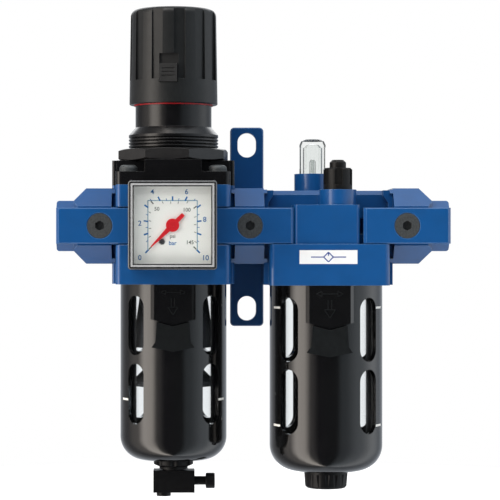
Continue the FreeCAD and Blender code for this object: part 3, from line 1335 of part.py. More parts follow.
make_regulator_body()
make_bonnet()
make_bonnet_screws()
make_panel_nut()
make_knob()
make_lock_tab()
make_unlocked_ring()
make_spindle()
make_spring_nut()
coil("regulating_spring", fil_x, D.spring_r, D.spring_wire, D.plate_top,
     D.spring_nut_top - D.spring_nut_thick, 4.5)
make_diaphragm()
make_diaphragm_plate()
make_valve()
make_filter_inside()
hole = D.drain_r + D.hair
make_bowl("filter_bowl", fil_x, D.fil_guard_r, D.fil_base, D.fil_guard_low, D.fil_corner, hole)
make_guard("filter_guard", fil_x, D.fil_guard_r, D.fil_base, D.fil_guard_low, D.fil_corner, D.fil_slot_r,
           [(D.fil_base - 5.4, D.fil_base - 32.8), (D.fil_base - 36.7, D.fil_base - 64.6)], hole, 1.0)
make_lock_button("filter_lock_button", fil_x, D.fil_guard_r, D.fil_base, 1.0)
make_drain()
make_gauge_case()
make_gauge_movement()
make_needle()
make_port("inlet_port_block", -1, fil_face, "inlet")
make_port("outlet_port_block", 1, lub_face, "outlet")
make_bracket()
for clamp_name in clamp_xs:
    make_clamp(clamp_name)
make_clamp_screws()
make_module_seals()
make_rear_plug()
make_lubricator_body()
make_lubricator_top()
make_bowl("lubricator_bowl", lub_x, D.lub_guard_r, D.lub_base, D.lub_guard_low, D.lub_corner, hole)
make_guard("lubricator_guard", lub_x, D.lub_guard_r, D.lub_base, D.lub_guard_low, D.lub_corner, D.lub_slot_r,
           [(D.lub_base - 5.8, D.lub_base - 35.3), (D.lub_base - 38.9, D.lub_base - 68.7)], hole, 1.065)
make_lock_button("lubricator_lock_button", lub_x, D.lub_guard_r, D.lub_base, 1.065)
make_bottom_plug()

doc.recompute()

problems = []
for item in doc.Objects:
    if "Invalid" in item.State or "Error" in item.State:
        problems.append(f"{item.Name}: {item.State}")
for item in nodes:
    if item.Shape.isNull() or not item.Shape.isValid() or not item.Shape.Solids:
        problems.append(f"{item.Label}: no valid solid")
if problems:
    raise ValueError("; ".join(problems))

os.makedirs("parts", exist_ok=True)
for item in nodes:
    item.Shape.exportStep(f"parts/{item.Label}.step")
print(len(nodes), "sub-parts")
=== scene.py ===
import json
import math

import bmesh
import bpy
from mathutils import Matrix, Vector


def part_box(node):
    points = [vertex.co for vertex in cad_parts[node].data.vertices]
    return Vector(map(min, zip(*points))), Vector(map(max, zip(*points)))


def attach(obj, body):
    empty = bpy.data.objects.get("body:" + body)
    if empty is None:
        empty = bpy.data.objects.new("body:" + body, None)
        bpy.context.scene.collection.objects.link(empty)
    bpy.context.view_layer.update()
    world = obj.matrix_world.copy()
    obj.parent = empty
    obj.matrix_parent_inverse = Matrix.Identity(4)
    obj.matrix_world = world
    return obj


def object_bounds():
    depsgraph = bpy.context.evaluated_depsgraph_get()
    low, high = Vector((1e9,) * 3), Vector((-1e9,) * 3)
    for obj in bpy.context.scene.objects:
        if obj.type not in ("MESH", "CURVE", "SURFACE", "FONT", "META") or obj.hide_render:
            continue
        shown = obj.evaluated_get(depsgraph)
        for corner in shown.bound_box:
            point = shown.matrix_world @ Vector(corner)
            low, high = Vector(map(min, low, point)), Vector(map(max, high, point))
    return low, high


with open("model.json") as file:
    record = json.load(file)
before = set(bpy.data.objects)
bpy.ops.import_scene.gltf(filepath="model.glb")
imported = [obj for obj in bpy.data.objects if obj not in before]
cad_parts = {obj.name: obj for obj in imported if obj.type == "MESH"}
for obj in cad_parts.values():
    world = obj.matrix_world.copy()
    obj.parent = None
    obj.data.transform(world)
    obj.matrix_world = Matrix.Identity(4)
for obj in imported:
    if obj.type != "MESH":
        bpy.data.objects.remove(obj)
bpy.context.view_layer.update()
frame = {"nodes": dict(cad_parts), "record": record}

# Looks of the filter regulator lubricator, in metres, in the CAD model's frame:
# +X from inlet to outlet, +Z up, and the front faces -Y.

MM = 0.001
UNIT_Y = -0.031              # upright plane through the middle of both units


# ---------------------------------------------------------------- material helpers

# Painted highlight on rounded edges: where a bevel turns the normal, the colour is mixed towards a lighter
# one.
FLAT = 0.999                 # cosine between the bevelled and the flat normal where the painted edge highlight starts
TURNED = 0.93                # and where it is at its most
STRONGEST_HIGHLIGHT = 0.55


class Look:
    """One procedural material: a Principled shader with noise for its colour, gloss and surface."""

    def __init__(self, name, colour, roughness=0.5, metallic=0.0):
        self.material = bpy.data.materials.new(name)
        self.material.use_nodes = True
        self.tree = self.material.node_tree
        self.shader = self.tree.nodes["Principled BSDF"]
        self.colour = colour
        self.shader.inputs["Base Color"].default_value = (*colour, 1)
        self.shader.inputs["Roughness"].default_value = roughness
        self.shader.inputs["Metallic"].default_value = metallic
        self.place = self.node("ShaderNodeTexCoord").outputs["Object"]
        self.normal = None

    def node(self, kind, **settings):
        made = self.tree.nodes.new(kind)
        for key, value in settings.items():
            setattr(made, key, value)
        return made

    def link(self, output, target):
        self.tree.links.new(output, target)

    def noise(self, size, detail=3.0, stretch=(1, 1, 1)):
        """Noise whose grains are about size metres across."""
        scaled = self.node("ShaderNodeMapping")
        scaled.inputs["Scale"].default_value = stretch
        self.link(self.place, scaled.inputs["Vector"])
        made = self.node("ShaderNodeTexNoise")
        made.inputs["Scale"].default_value = 1 / size
        made.inputs["Detail"].default_value = detail
        self.link(scaled.outputs["Vector"], made.inputs["Vector"])
        return made.outputs["Fac"]

    def band(self, source, low, high):
        """Stretch the middle of a noise over a narrow range of values."""
        made = self.node("ShaderNodeMapRange")
        made.inputs["From Min"].default_value = 0.3
        made.inputs["From Max"].default_value = 0.7
        made.inputs["To Min"].default_value = low
        made.inputs["To Max"].default_value = high
        self.link(source, made.inputs["Value"])
        return made.outputs["Result"]

    def mottle(self, size, spread, detail=4.0):
        """Let the colour drift a little from place to place."""
        mix = self.node("ShaderNodeMix", data_type="RGBA")
        dark = [channel * (1 - spread) for channel in self.colour]
        light = [min(1, channel * (1 + spread)) for channel in self.colour]
        mix.inputs["A"].default_value = (*dark, 1)
        mix.inputs["B"].default_value = (*light, 1)
        self.link(self.band(self.noise(size, detail), 0, 1), mix.inputs["Factor"])
        self.link(mix.outputs["Result"], self.shader.inputs["Base Color"])
        return self

    def vary_gloss(self, size, low, high, stretch=(1, 1, 1)):
        self.link(self.band(self.noise(size, 4, stretch), low, high), self.shader.inputs["Roughness"])
        return self

    def soft_edges(self, radius):
        """Round the sharp edges of castings and mouldings by a hair, in the shading."""
        made = self.node("ShaderNodeBevel", samples=4)
        made.inputs["Radius"].default_value = radius
        self.normal = made.outputs["Normal"]
        self.link(self.normal, self.shader.inputs["Normal"])
        return self

    def bumps(self, size, height, detail=3.0, stretch=(1, 1, 1)):
        made = self.node("ShaderNodeBump")
        made.inputs["Strength"].default_value = 1.0
        made.inputs["Distance"].default_value = height
        self.link(self.noise(size, detail, stretch), made.inputs["Height"])
        if self.normal:
            self.link(self.normal, made.inputs["Normal"])
        self.normal = made.outputs["Normal"]
        self.link(self.normal, self.shader.inputs["Normal"])
        return self

    def painted_edge_highlight(self, radius, highlight_colour):
        """Painted highlight: lighten the edges, where a bevel of this radius turns the surface away from its
        flat.
        """
        bevel = self.node("ShaderNodeBevel", samples=4)
        bevel.inputs["Radius"].default_value = radius
        flat = self.node("ShaderNodeNewGeometry")
        turn = self.node("ShaderNodeVectorMath", operation="DOT_PRODUCT")
        self.link(bevel.outputs["Normal"], turn.inputs[0])
        self.link(flat.outputs["Normal"], turn.inputs[1])
        edge = self.node("ShaderNodeMapRange")
        edge.inputs["From Min"].default_value = FLAT
        edge.inputs["From Max"].default_value = TURNED
        edge.inputs["To Max"].default_value = STRONGEST_HIGHLIGHT
        self.link(turn.outputs["Value"], edge.inputs["Value"])
        mix = self.node("ShaderNodeMix", data_type="RGBA")
        mix.inputs["B"].default_value = (*highlight_colour, 1)
        colour = self.shader.inputs["Base Color"]
        self.link(colour.links[0].from_socket, mix.inputs["A"])
        self.link(edge.outputs["Result"], mix.inputs["Factor"])
        self.link(mix.outputs["Result"], colour)
        return self

    def sheet(self, tint):
        """Thin clear sheet: light passes straight through, and the surface still mirrors at a slant."""
        through = self.node("ShaderNodeBsdfTransparent")
        through.inputs["Color"].default_value = (*tint, 1)
        slant = self.node("ShaderNodeLayerWeight")
        slant.inputs["Blend"].default_value = 0.12
        mix = self.node("ShaderNodeMixShader")
        self.link(slant.outputs["Fresnel"], mix.inputs[0])
        self.link(through.outputs["BSDF"], mix.inputs[1])
        self.link(self.shader.outputs["BSDF"], mix.inputs[2])
        self.link(mix.outputs["Shader"], self.tree.nodes["Material Output"].inputs["Surface"])
        return self

    def dull(self, level):
        self.shader.inputs["Specular IOR Level"].default_value = level
        return self

    def glow(self, strength):
        """A little light of its own, for a surface that lies deep in a frame."""
        self.shader.inputs["Emission Color"].default_value = (*self.colour, 1)
        self.shader.inputs["Emission Strength"].default_value = strength
        return self

    def coat(self, weight, roughness):
        self.shader.inputs["Coat Weight"].default_value = weight
        self.shader.inputs["Coat Roughness"].default_value = roughness
        return self


def make_looks():
    """Materials by the record's slot names."""
    looks = {
        # blue_paint's lighter blue edges are a painted highlight of its rounded edges
        "blue_paint": Look("blue_paint", (0.0040, 0.070, 0.235)).vary_gloss(3 * MM, 0.32, 0.42).mottle(
            9 * MM, 0.05).soft_edges(0.4 * MM).bumps(1.6 * MM, 0.012 * MM).painted_edge_highlight(
            0.25 * MM, (0.20, 0.38, 0.64)).dull(0.3).coat(0.9, 0.09),
        "bonnet_black": Look("bonnet_black", (0.004, 0.004, 0.0045)).vary_gloss(2 * MM, 0.16, 0.24).mottle(
            5 * MM, 0.2).soft_edges(0.3 * MM).bumps(1.2 * MM, 0.010 * MM),
        "nut_black": Look("nut_black", (0.014, 0.014, 0.0145)).vary_gloss(1.5 * MM, 0.28, 0.38).mottle(
            4 * MM, 0.15).soft_edges(0.25 * MM).bumps(0.5 * MM, 0.010 * MM),
        "knob_black": Look("knob_black", (0.0115, 0.0125, 0.013)).vary_gloss(2 * MM, 0.30, 0.40).mottle(
            5 * MM, 0.12).soft_edges(0.3 * MM).bumps(0.35 * MM, 0.012 * MM).dull(0.35),
        "tab_black": Look("tab_black", (0.014, 0.0145, 0.015)).vary_gloss(1 * MM, 0.42, 0.52).mottle(
            3 * MM, 0.15).soft_edges(0.2 * MM).bumps(0.3 * MM, 0.010 * MM),
        "red_ring": Look("red_ring", (0.40, 0.006, 0.012), 0.4).mottle(
            2 * MM, 0.1).bumps(0.4 * MM, 0.006 * MM),
        "guard_black": Look("guard_black", (0.0032, 0.0032, 0.0034)).vary_gloss(4 * MM, 0.10, 0.15).mottle(
            6 * MM, 0.2).soft_edges(0.25 * MM).bumps(2.5 * MM, 0.008 * MM).coat(0.6, 0.08),
        "button_black": Look("button_black", (0.0058, 0.0072, 0.0080)).vary_gloss(1 * MM, 0.46, 0.58).mottle(
            2 * MM, 0.2).soft_edges(0.25 * MM).bumps(0.28 * MM, 0.014 * MM).dull(0.22),
        "clear_bowl": Look("clear_bowl", (0.16, 0.165, 0.17)).vary_gloss(5 * MM, 0.03, 0.08).bumps(
            6 * MM, 0.006 * MM).sheet((0.955, 0.965, 0.97)),
        "clear_dome": Look("clear_dome", (0.34, 0.35, 0.345)).vary_gloss(3 * MM, 0.03, 0.07).bumps(
            3 * MM, 0.005 * MM).sheet((0.935, 0.945, 0.94)),
        "clear_lens": Look("clear_lens", (0.10, 0.10, 0.10)).vary_gloss(8 * MM, 0.02, 0.06).bumps(
            9 * MM, 0.002 * MM).sheet((0.98, 0.985, 0.98)),
        "drain_black": Look("drain_black", (0.005, 0.005, 0.0055)).vary_gloss(1 * MM, 0.34, 0.44).mottle(
            2 * MM, 0.2).soft_edges(0.2 * MM).bumps(0.3 * MM, 0.012 * MM).dull(0.22),
        "plug_black": Look("plug_black", (0.009, 0.009, 0.0088)).vary_gloss(1 * MM, 0.32, 0.42).mottle(
            2 * MM, 0.15).soft_edges(0.2 * MM).bumps(0.35 * MM, 0.010 * MM).dull(0.22),
        "screw_black": Look("screw_black", (0.075, 0.082, 0.086), metallic=0.55).vary_gloss(
            0.6 * MM, 0.48, 0.62).mottle(0.7 * MM, 0.25).soft_edges(0.15 * MM).bumps(0.22 * MM, 0.02 * MM),
        "steel": Look("steel", (0.52, 0.53, 0.55), metallic=1.0).vary_gloss(0.5 * MM, 0.26, 0.38).mottle(
            2 * MM, 0.08).bumps(0.25 * MM, 0.004 * MM),
        "spring_steel": Look("spring_steel", (0.40, 0.41, 0.43), metallic=1.0).vary_gloss(
            0.5 * MM, 0.28, 0.4).mottle(1 * MM, 0.1).bumps(0.3 * MM, 0.004 * MM),
        "rubber": Look("rubber", (0.014, 0.014, 0.014)).vary_gloss(1 * MM, 0.6, 0.75).mottle(
            1.5 * MM, 0.2).bumps(0.3 * MM, 0.012 * MM),
        "brass": Look("brass", (0.62, 0.42, 0.16), metallic=1.0).vary_gloss(0.5 * MM, 0.24, 0.36).mottle(
            2 * MM, 0.1).bumps(0.25 * MM, 0.004 * MM),
        "aluminium": Look("aluminium", (0.60, 0.61, 0.63), metallic=1.0).vary_gloss(
            0.6 * MM, 0.3, 0.42).mottle(2 * MM, 0.06).bumps(0.25 * MM, 0.004 * MM),
        "white_plastic": Look("white_plastic", (0.78, 0.78, 0.75)).vary_gloss(0.5 * MM, 0.7, 0.85).mottle(
            0.6 * MM, 0.08).bumps(0.3 * MM, 0.05 * MM),
        "grey_plastic": Look("grey_plastic", (0.035, 0.037, 0.040)).vary_gloss(1 * MM, 0.32, 0.42).mottle(
            2 * MM, 0.12).bumps(0.4 * MM, 0.010 * MM),
        "sintered": Look("sintered", (0.36, 0.27, 0.15), metallic=0.8).vary_gloss(0.4 * MM, 0.5, 0.7).mottle(
            0.4 * MM, 0.3).bumps(0.35 * MM, 0.08 * MM),
        "gauge_black": Look("gauge_black", (0.010, 0.010, 0.011)).vary_gloss(1.5 * MM, 0.24, 0.34).mottle(
            3 * MM, 0.15).soft_edges(0.25 * MM).bumps(1 * MM, 0.006 * MM),
        "gauge_rim": Look("gauge_rim", (0.16, 0.165, 0.17), metallic=0.6).vary_gloss(
            1 * MM, 0.16, 0.24).mottle(2 * MM, 0.08).soft_edges(0.2 * MM).bumps(1 * MM, 0.003 * MM),
        "dial_white": Look("dial_white", (0.92, 0.93, 0.905)).vary_gloss(2 * MM, 0.5, 0.6).mottle(
            6 * MM, 0.02).bumps(0.4 * MM, 0.004 * MM).glow(0.14),
        "needle_red": Look("needle_red", (0.82, 0.018, 0.030)).vary_gloss(1 * MM, 0.34, 0.44).mottle(
            2 * MM, 0.05).bumps(0.4 * MM, 0.004 * MM),
    }
    looks["nozzle_clear"] = Look("nozzle_clear", (0.62, 0.63, 0.62)).vary_gloss(1 * MM, 0.1, 0.2).bumps(
        1 * MM, 0.004 * MM).sheet((0.86, 0.87, 0.865))
    return {slot: look.material for slot, look in looks.items()}


looks = make_looks()
slots_of = {entry["node"]: entry["material_slot"] for entry in frame["record"]["subparts"]}
for name, node in frame["nodes"].items():
    for material_slot in node.material_slots:
        material_slot.material = looks["nozzle_clear" if name == "drip_nozzle" else slots_of[name]]


# ---------------------------------------------------------------- mesh helpers

def add_piece(name, mesh, body, material):
    piece = bpy.data.objects.new(name, mesh)
    bpy.context.collection.objects.link(piece)
    mesh.materials.clear()
    mesh.materials.append(material)
    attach(piece, body)
    return piece


def prism(outlines, low, high, lift):
    """Solid plates: each outline of (x, z) points, thickened from y=low to y=high. lift moves a point."""
    shape = bmesh.new()
    for outline in outlines:
        near = [shape.verts.new(lift(x, low, z)) for x, z in outline]
        far = [shape.verts.new(lift(x, high, z)) for x, z in outline]
        shape.faces.new(near)
        shape.faces.new(list(reversed(far)))
        count = len(outline)
        for i in range(count):
            shape.faces.new((near[i], far[i], far[(i + 1) % count], near[(i + 1) % count]))
    bmesh.ops.recalc_face_normals(shape, faces=shape.faces)
    mesh = bpy.data.meshes.new("plates")
    shape.to_mesh(mesh)
    shape.free()
    return mesh


def stay(x, y, z):
    return Vector((x, y, z))


def bar(x0, z0, x1, z1, width):
    """Outline of a straight stroke from one point to another."""
    along = Vector((x1 - x0, z1 - z0)).normalized() * width / 2
    side = Vector((-along.y, along.x))
    return [(x0 - side.x, z0 - side.y), (x1 - side.x, z1 - side.y), (x1 + side.x, z1 + side.y),
            (x0 + side.x, z0 + side.y)]


FONT_SIZE = 1.38             # font size for figures of height 1
FIGURE_DEPTH = 0.02 * MM     # half the thickness of a figure
FIGURE_BOLD = 0.035 * MM     # how much its strokes swell


def lettering(words, x, z, height, y):
    """Generic figures as a thin mesh that faces the front."""
    curve = bpy.data.curves.new("figures", "FONT")
    curve.body = words
    curve.size = height * FONT_SIZE
    curve.align_x = "CENTER"
    curve.align_y = "CENTER"
    curve.extrude = FIGURE_DEPTH
    curve.offset = FIGURE_BOLD
    holder = bpy.data.objects.new("figures", curve)
    bpy.context.collection.objects.link(holder)
    bpy.context.view_layer.update()
    mesh = bpy.data.meshes.new_from_object(holder.evaluated_get(bpy.context.evaluated_depsgraph_get()))
    bpy.data.objects.remove(holder)
    bpy.data.curves.remove(curve)
    mesh.transform(Matrix.Translation((x, y, z)) @ Matrix.Rotation(math.radians(90), 4, "X"))
    return mesh


def joined(meshes):
    whole = bmesh.new()
    for mesh in meshes:
        whole.from_mesh(mesh)
        bpy.data.meshes.remove(mesh)
    mesh = bpy.data.meshes.new("joined")
    whole.to_mesh(mesh)
    whole.free()
    return mesh


# ---------------------------------------------------------------- gauge dial

dial_low, dial_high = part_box("gauge_dial")
gauge_x = (dial_low.x + dial_high.x) / 2
gauge_z = (dial_low.z + dial_high.z) / 2
dial_y = dial_low.y
PRINT = 0.03 * MM            # thickness of the dial's print
SQUARE = 11.0 * MM           # half the side of the square scale line
ZERO = 225.5                 # degrees of the scale's zero, counter-clockwise from +X
SWEEP = 271.0
BAR_FULL = 10
PSI_FULL = 145
PSI_GAP = 0.4 * MM           # inside the square scale line
FIGURES = {                  # words, then x and z from the middle of the dial in mm
    "bar": (("0", -14.6, -14.5), ("2", -14.6, 0.8), ("4", -9.0, 14.8), ("6", 6.2, 14.8), ("8", 14.3, 2.5),
            ("10", 14.6, -14.6), ("bar", 0.0, -8.0)),
    "psi": (("50", -7.0, 7.2), ("100", 6.3, 6.8), ("145", 7.7, -7.7), ("psi", 0.0, -4.9)),
}
BAR_HEIGHT = 2.3 * MM
UNIT_HEIGHT = 1.9 * MM
PSI_HEIGHT = 1.7 * MM


def on_scale(share):
    """Direction of a share of the full scale."""
    angle = math.radians(ZERO - SWEEP * share)
    return math.cos(angle), math.sin(angle)


def scale_tick(share, near, far, width):
    """Stroke along the needle's direction, from near to far beyond the square line."""
    across, up = on_scale(share)
    edge = SQUARE / max(abs(across), abs(up))
    start, end = edge + near, edge + far
    return bar(gauge_x + across * start, gauge_z + up * start,
               gauge_x + across * end, gauge_z + up * end, width)


def print_look(name, colour, drift):
    return Look(name, colour, 0.5).mottle(1 * MM, drift).bumps(0.3 * MM, 0.002 * MM).material


def figure_meshes(scale, height_of):
    return [lettering(words, gauge_x + x * MM, gauge_z + z * MM, height_of(words), dial_y - PRINT)
            for words, x, z in FIGURES[scale]]


def make_dial():
    """Printed scales: an open square line, the bar scale outside it and the psi scale inside."""
    blue = print_look("dial_blue", (0.006, 0.17, 0.50), 0.05)
    pale = print_look("dial_pale", (0.30, 0.48, 0.63), 0.04)
    grey = print_look("dial_grey", (0.13, 0.15, 0.14), 0.06)
    ends = [(-SQUARE, -SQUARE), (-SQUARE, SQUARE), (SQUARE, SQUARE), (SQUARE, -SQUARE)]
    square = [bar(gauge_x + a[0], gauge_z + a[1], gauge_x + b[0], gauge_z + b[1], 0.45 * MM)
              for a, b in zip(ends, ends[1:])]
    line = prism(square, dial_y - 0.6 * PRINT, dial_y, stay)
    add_piece("dial_scale_line", line, "frame", pale)
    strokes = []
    for half_bar in range(2 * BAR_FULL + 1):
        share = half_bar / (2 * BAR_FULL)
        if half_bar % 2 == 0:
            strokes.append(scale_tick(share, -0.2 * MM, 1.9 * MM, 0.68 * MM))
        else:
            strokes.append(scale_tick(share, -0.1 * MM, 1.0 * MM, 0.26 * MM))
    meshes = [prism(strokes, dial_y - PRINT, dial_y, stay)]
    meshes += figure_meshes("bar", lambda words: UNIT_HEIGHT if words == "bar" else BAR_HEIGHT)
    add_piece("dial_bar_scale", joined(meshes), "frame", blue)

    strokes = []
    for psi in list(range(0, PSI_FULL, 10)) + [PSI_FULL]:
        share = psi / PSI_FULL
        thick = psi in (0, 50, 100, PSI_FULL)
        wide = 0.5 * MM if thick else 0.26 * MM
        deep = 1.7 * MM if thick else 1.1 * MM
        strokes.append(scale_tick(share, -PSI_GAP - deep, -PSI_GAP, wide))
    meshes = [prism(strokes, dial_y - PRINT, dial_y, stay)]
    meshes += figure_meshes("psi", lambda words: PSI_HEIGHT)
    add_piece("dial_psi_scale", joined(meshes), "frame", grey)


def square_ring(outer, inner):
    """Outlines of a flat square frame round the gauge's middle."""
    corners = [(-1, -1), (1, -1), (1, 1), (-1, 1)]
    return [[(gauge_x + corner[0] * half, gauge_z + corner[1] * half)
             for corner, half in ((a, outer), (b, outer), (b, inner), (a, inner))]
            for a, b in zip(corners, corners[1:] + corners[:1])]


DARK_START = 0.65 * MM       # widths in from the outer side of the bezel, to a black band, a painted reflection and a painted shadow in turn
REFLECTION_START = 1.25 * MM
REFLECTION_END = 2.1 * MM
SHADOW_END = 2.6 * MM
BAND_ROOT = 0.1 * MM         # how deep the bands reach into the bezel


def make_bezel_ring_and_painted_light():
    """Bands round the gauge's window: from the outside in, a black band of the bezel, a painted reflection
    of the lens's bevelled edge and a painted shadow in the gap by the dial.
    """
    low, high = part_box("gauge_bezel")
    half = (high.x - low.x) / 2
    # painted reflection: a light grey band that stands in for the shine on the lens's bevelled edge
    painted_reflection = Look("bezel_painted_reflection", (0.50, 0.51, 0.52), metallic=0.3).vary_gloss(2 * MM, 0.30, 0.38).mottle(
        2 * MM, 0.04).bumps(2 * MM, 0.002 * MM).material
    # the outer dark band is the bezel's own black; the inner one is a painted shadow in the gap by the dial
    dark = square_ring(half - DARK_START, half - REFLECTION_START)
    dark += square_ring(half - REFLECTION_END, half - SHADOW_END)
    bands = prism(dark, low.y - 0.03 * MM, low.y + BAND_ROOT, stay)
    add_piece("bezel_black_and_painted_shadow_bands", bands, "frame", looks["gauge_black"])
    ring = square_ring(half - REFLECTION_START, half - REFLECTION_END)
    band = prism(ring, low.y - 0.06 * MM, low.y + BAND_ROOT, stay)
    add_piece("bezel_painted_reflection_band", band, "frame", painted_reflection)


make_bezel_ring_and_painted_light()
make_dial()


# ---------------------------------------------------------------- marks on the guards and the lubricator

def wrapped(axis_x, axis_y, radius):
    """Bend a flat plate round an upright cylinder: x runs round it, y is the height above its skin."""
    def lift(x, y, z):
        angle = x / radius
        reach = radius + y
        return Vector((axis_x + reach * math.sin(angle), axis_y - reach * math.cos(angle), z))
    return lift


def strip(start, end, low, high, count=12):
    """Outlines of a band from start to end round a cylinder, in short flats."""
    step = (end - start) / count
    return [[(start + step * i, low), (start + step * (i + 1), low), (start + step * (i + 1), high),
             (start + step * i, high)] for i in range(count)]


LEVELS = {"filter": (-80.3,), "lubricator": (-37.8, -92.4)}     # heights of the level lines in mm
MARK_ARCS = ((57, 70), (110, 123))                               # degrees from the front, to either side
MARK_HALF = 0.5                                                  # half a line's width in mm
GUARD_STEP = 2.8 * MM                                            # from the bowl's radius to the guard's


def make_level_marks():
    """Short white lines beside the guards' windows."""
    white = Look("mark_white", (0.80, 0.79, 0.74), 0.45).mottle(
        0.6 * MM, 0.06).bumps(0.3 * MM, 0.004 * MM).material
    for unit, levels in LEVELS.items():
        low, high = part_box(unit + "_bowl")
        axis_x = (low.x + high.x) / 2
        axis_y = (low.y + high.y) / 2
        radius = (high.x - low.x) / 2 + GUARD_STEP
        outlines = []
        for level in levels:
            for side in (-1, 1):
                for start, end in MARK_ARCS:
                    a = side * math.radians(start) * radius
                    b = side * math.radians(end) * radius
                    under, over = (level - MARK_HALF) * MM, (level + MARK_HALF) * MM
                    outlines += strip(min(a, b), max(a, b), under, over)
        mesh = prism(outlines, 0.0, 0.04 * MM, wrapped(axis_x, axis_y, radius))
        add_piece(unit + "_level_marks", mesh, unit + "_bowl_unit", white)


def hollow_triangle(x, z, dx, dz, long, wide, stroke):
    """Outline strokes of a triangle whose tip points along (dx, dz)."""
    side_x, side_z = -dz, dx
    tip = (x + dx * long, z + dz * long)
    left = (x + side_x * wide / 2, z + side_z * wide / 2)
    right = (x - side_x * wide / 2, z - side_z * wide / 2)
    return [bar(*a, *b, stroke) for a, b in ((left, tip), (tip, right), (right, left))]


def make_arrows():
    """Raised arrows on each guard's pad: turn either way, then pull down."""
    for unit, size in (("filter", 1.0), ("lubricator", 1.065)):
        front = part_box(unit + "_guard")[0].y
        button_low, button_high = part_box(unit + "_lock_button")
        x = (button_low.x + button_high.x) / 2
        mm = MM * size
        top = button_high.z + 17.2 * mm
        stroke = 0.35 * mm
        level = top - 3.6 * mm
        half_shaft = 3.4 * mm
        shank_top, shank_low = top - 6.4 * mm, top - 10.4 * mm
        strokes = [bar(x - half_shaft, level, x + half_shaft, level, stroke)]
        for side in (-1, 1):
            shank = x + side * 0.8 * mm
            strokes += hollow_triangle(x + side * half_shaft, level, side, 0, 2.4 * mm, 2.2 * mm, stroke)
            strokes.append(bar(shank, shank_top, shank, shank_low, stroke))
        strokes += hollow_triangle(x, shank_low, 0, -1, 3.6 * mm, 4.6 * mm, stroke)
        mesh = prism(strokes, front - 0.14 * MM, front + 0.1 * MM, stay)
        add_piece(unit + "_lock_arrows", mesh, unit + "_bowl_unit", looks["button_black"])


LABEL_Z = -14.3 * MM         # height of the label's middle
LABEL_SHIFT = -0.7 * MM      # from the bowl's axis to the label's middle
LABEL_HALF = (13.2 * MM, 3.15 * MM)


def label_look(name, colour, grain, drift):
    return Look(name, colour, 0.4).mottle(grain, drift).bumps(0.5 * MM, 0.003 * MM).material


def make_label():
    """Plain white plate with the generic diamond symbol of a lubricator."""
    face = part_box("lubricator_body")[0].y
    bowl_low, bowl_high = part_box("lubricator_bowl")
    middle = (bowl_low.x + bowl_high.x) / 2 + LABEL_SHIFT
    wide, tall = LABEL_HALF
    white = label_look("label_white", (0.82, 0.83, 0.83), 3 * MM, 0.02)
    blue = label_look("label_blue", (0.014, 0.055, 0.27), 2 * MM, 0.05)
    outline = [(middle - wide, LABEL_Z - tall), (middle + wide, LABEL_Z - tall),
               (middle + wide, LABEL_Z + tall), (middle - wide, LABEL_Z + tall)]
    plate = prism([outline], face - 0.05 * MM, face + 0.02 * MM, stay)
    add_piece("label_plate", plate, "frame", white)
    reach = 2.2 * MM
    line_end = 8 * MM
    stroke = 0.5 * MM
    tips = [(middle - reach, LABEL_Z), (middle, LABEL_Z + reach), (middle + reach, LABEL_Z),
            (middle, LABEL_Z - reach)]
    strokes = [bar(*a, *b, stroke) for a, b in zip(tips, tips[1:] + tips[:1])]
    strokes.append(bar(middle - line_end, LABEL_Z, middle - reach, LABEL_Z, stroke))
    strokes.append(bar(middle + reach, LABEL_Z, middle + line_end, LABEL_Z, stroke))
    strokes.append(bar(middle, LABEL_Z + reach, middle, LABEL_Z + 0.5 * MM, stroke))
    symbol = prism(strokes, face - 0.08 * MM, face - 0.04 * MM, stay)
    add_piece("label_symbol", symbol, "frame", blue)


make_level_marks()
make_arrows()
make_label()


# ---------------------------------------------------------------- floor, light and camera

LOOK_AT = Vector((0, -0.03, -0.01))     # middle of the object, where the lamps point
FLOOR_RADIUS = 0.42
FLOOR_GAP = 0.03                        # the set hangs on its bracket this high above the floor


def make_floor():
    low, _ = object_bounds()
    bpy.ops.mesh.primitive_circle_add(vertices=96, radius=FLOOR_RADIUS, fill_type="NGON",
                                      location=(LOOK_AT.x, LOOK_AT.y, low.z - FLOOR_GAP))
    floor = bpy.context.object
    floor.name = "floor"
    pale = Look("floor_pale", (0.88, 0.88, 0.88), 0.6).mottle(60 * MM, 0.01)
    pale.shader.inputs["Emission Color"].default_value = (1, 1, 1, 1)
    pale.shader.inputs["Emission Strength"].default_value = 0.25
    floor.data.materials.append(pale.material)
    floor.visible_glossy = False


def add_softbox(name, azimuth, elevation, distance, width, height, power, tint=(1, 1, 1)):
    """Rectangular light that looks at the middle of the object. Azimuth 0 is the front, positive to +X."""
    lamp = bpy.data.lights.new(name, "AREA")
    lamp.shape = "RECTANGLE"
    lamp.size = width
    lamp.size_y = height
    lamp.energy = power
    lamp.color = tint
    holder = bpy.data.objects.new(name, lamp)
    bpy.context.collection.objects.link(holder)
    a, e = math.radians(azimuth), math.radians(elevation)
    away = Vector((math.sin(a) * math.cos(e), -math.cos(a) * math.cos(e), math.sin(e)))
    holder.location = LOOK_AT + away * distance
    holder.rotation_euler = away.to_track_quat("Z", "Y").to_euler()
    holder.visible_camera = False
    return holder


AROUND = [
    # degrees from the front towards +X, then the brightness of the room in that direction
    (-180, (0.50, 0.53, 0.57)), (-120, (0.20, 0.20, 0.21)), (-84, (0.75, 0.70, 0.66)),
    (-64, (3.4, 3.15, 2.9)), (-50, (3.2, 2.95, 2.7)), (-34, (0.40, 0.38, 0.37)),
    (-18, (0.05, 0.05, 0.06)), (16, (0.05, 0.055, 0.06)), (32, (0.30, 0.34, 0.37)),
    (70, (0.75, 0.82, 0.88)), (100, (1.1, 1.15, 1.2)), (135, (0.35, 0.38, 0.42)),
    (180, (0.50, 0.53, 0.57)),
]
BRIGHTEST = 4.0


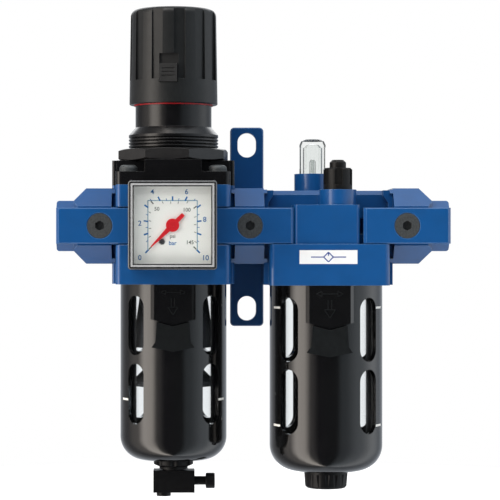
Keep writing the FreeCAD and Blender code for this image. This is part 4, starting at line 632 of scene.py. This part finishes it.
def make_room():
    """Surroundings: plain white behind the object, and soft upright bands of light all round it."""
    world = bpy.data.worlds.new("studio")
    bpy.context.scene.world = world
    world.use_nodes = True
    tree = world.node_tree
    tree.nodes.clear()
    make, link = tree.nodes.new, tree.links.new
    parts = make("ShaderNodeSeparateXYZ")
    link(make("ShaderNodeTexCoord").outputs["Generated"], parts.inputs[0])
    front = make("ShaderNodeMath")
    front.operation = "MULTIPLY"
    front.inputs[1].default_value = -1
    link(parts.outputs["Y"], front.inputs[0])
    angle = make("ShaderNodeMath")
    angle.operation = "ARCTAN2"
    link(parts.outputs["X"], angle.inputs[0])
    link(front.outputs[0], angle.inputs[1])
    turn = make("ShaderNodeMapRange")
    turn.inputs["From Min"].default_value = -math.pi
    turn.inputs["From Max"].default_value = math.pi
    link(angle.outputs[0], turn.inputs["Value"])
    ramp = make("ShaderNodeValToRGB")
    ramp.color_ramp.interpolation = "EASE"
    stops = ramp.color_ramp.elements
    for degrees, colour in AROUND[1:-1]:
        stops.new((degrees + 180) / 360).color = (*[channel / BRIGHTEST for channel in colour], 1)
    for stop, (degrees, colour) in ((stops[0], AROUND[0]), (stops[-1], AROUND[-1])):
        stop.color = (*[channel / BRIGHTEST for channel in colour], 1)
    link(turn.outputs["Result"], ramp.inputs[0])
    soft = make("ShaderNodeBackground")
    soft.inputs["Strength"].default_value = BRIGHTEST
    link(ramp.outputs["Color"], soft.inputs["Color"])
    seen = make("ShaderNodeBackground")
    seen.inputs["Color"].default_value = (1, 1, 1, 1)
    path = make("ShaderNodeLightPath")
    mix = make("ShaderNodeMixShader")
    out = make("ShaderNodeOutputWorld")
    link(path.outputs["Is Camera Ray"], mix.inputs[0])
    link(soft.outputs["Background"], mix.inputs[1])
    link(seen.outputs["Background"], mix.inputs[2])
    link(mix.outputs["Shader"], out.inputs["Surface"])


def make_light():
    side = add_softbox("left_box", -62, 10, 1.9, 0.7, 2.0, 12, (1.0, 0.95, 0.90))
    side.visible_glossy = False
    add_softbox("top_box", 0, 66, 1.9, 2.0, 1.2, 20)
    fill = add_softbox("front_box", -6, 30, 2.6, 1.6, 0.7, 11)
    fill.visible_glossy = False
    add_softbox("back_box", 180, 30, 1.9, 1.8, 1.2, 10)


def make_camera():
    """Level camera in front of the object; the frame is 235 mm wide at the plane of the bowl axes."""
    width = 0.235
    distance = 0.944
    film = 36
    eye = Vector((-0.02745, UNIT_Y - distance, -0.0088))
    middle = Vector((0.00075, UNIT_Y, -0.01115))
    lens = bpy.data.cameras.new("camera")
    lens.sensor_width = film
    lens.lens = film * distance / width
    lens.shift_x = (middle.x - eye.x) / width
    lens.shift_y = (middle.z - eye.z) / width
    camera = bpy.data.objects.new("camera", lens)
    bpy.context.collection.objects.link(camera)
    camera.location = eye
    camera.rotation_euler = (math.radians(90), 0, 0)
    bpy.context.scene.camera = camera


make_floor()
make_room()
make_light()
make_camera()
bpy.context.scene.view_settings.view_transform = "Standard"
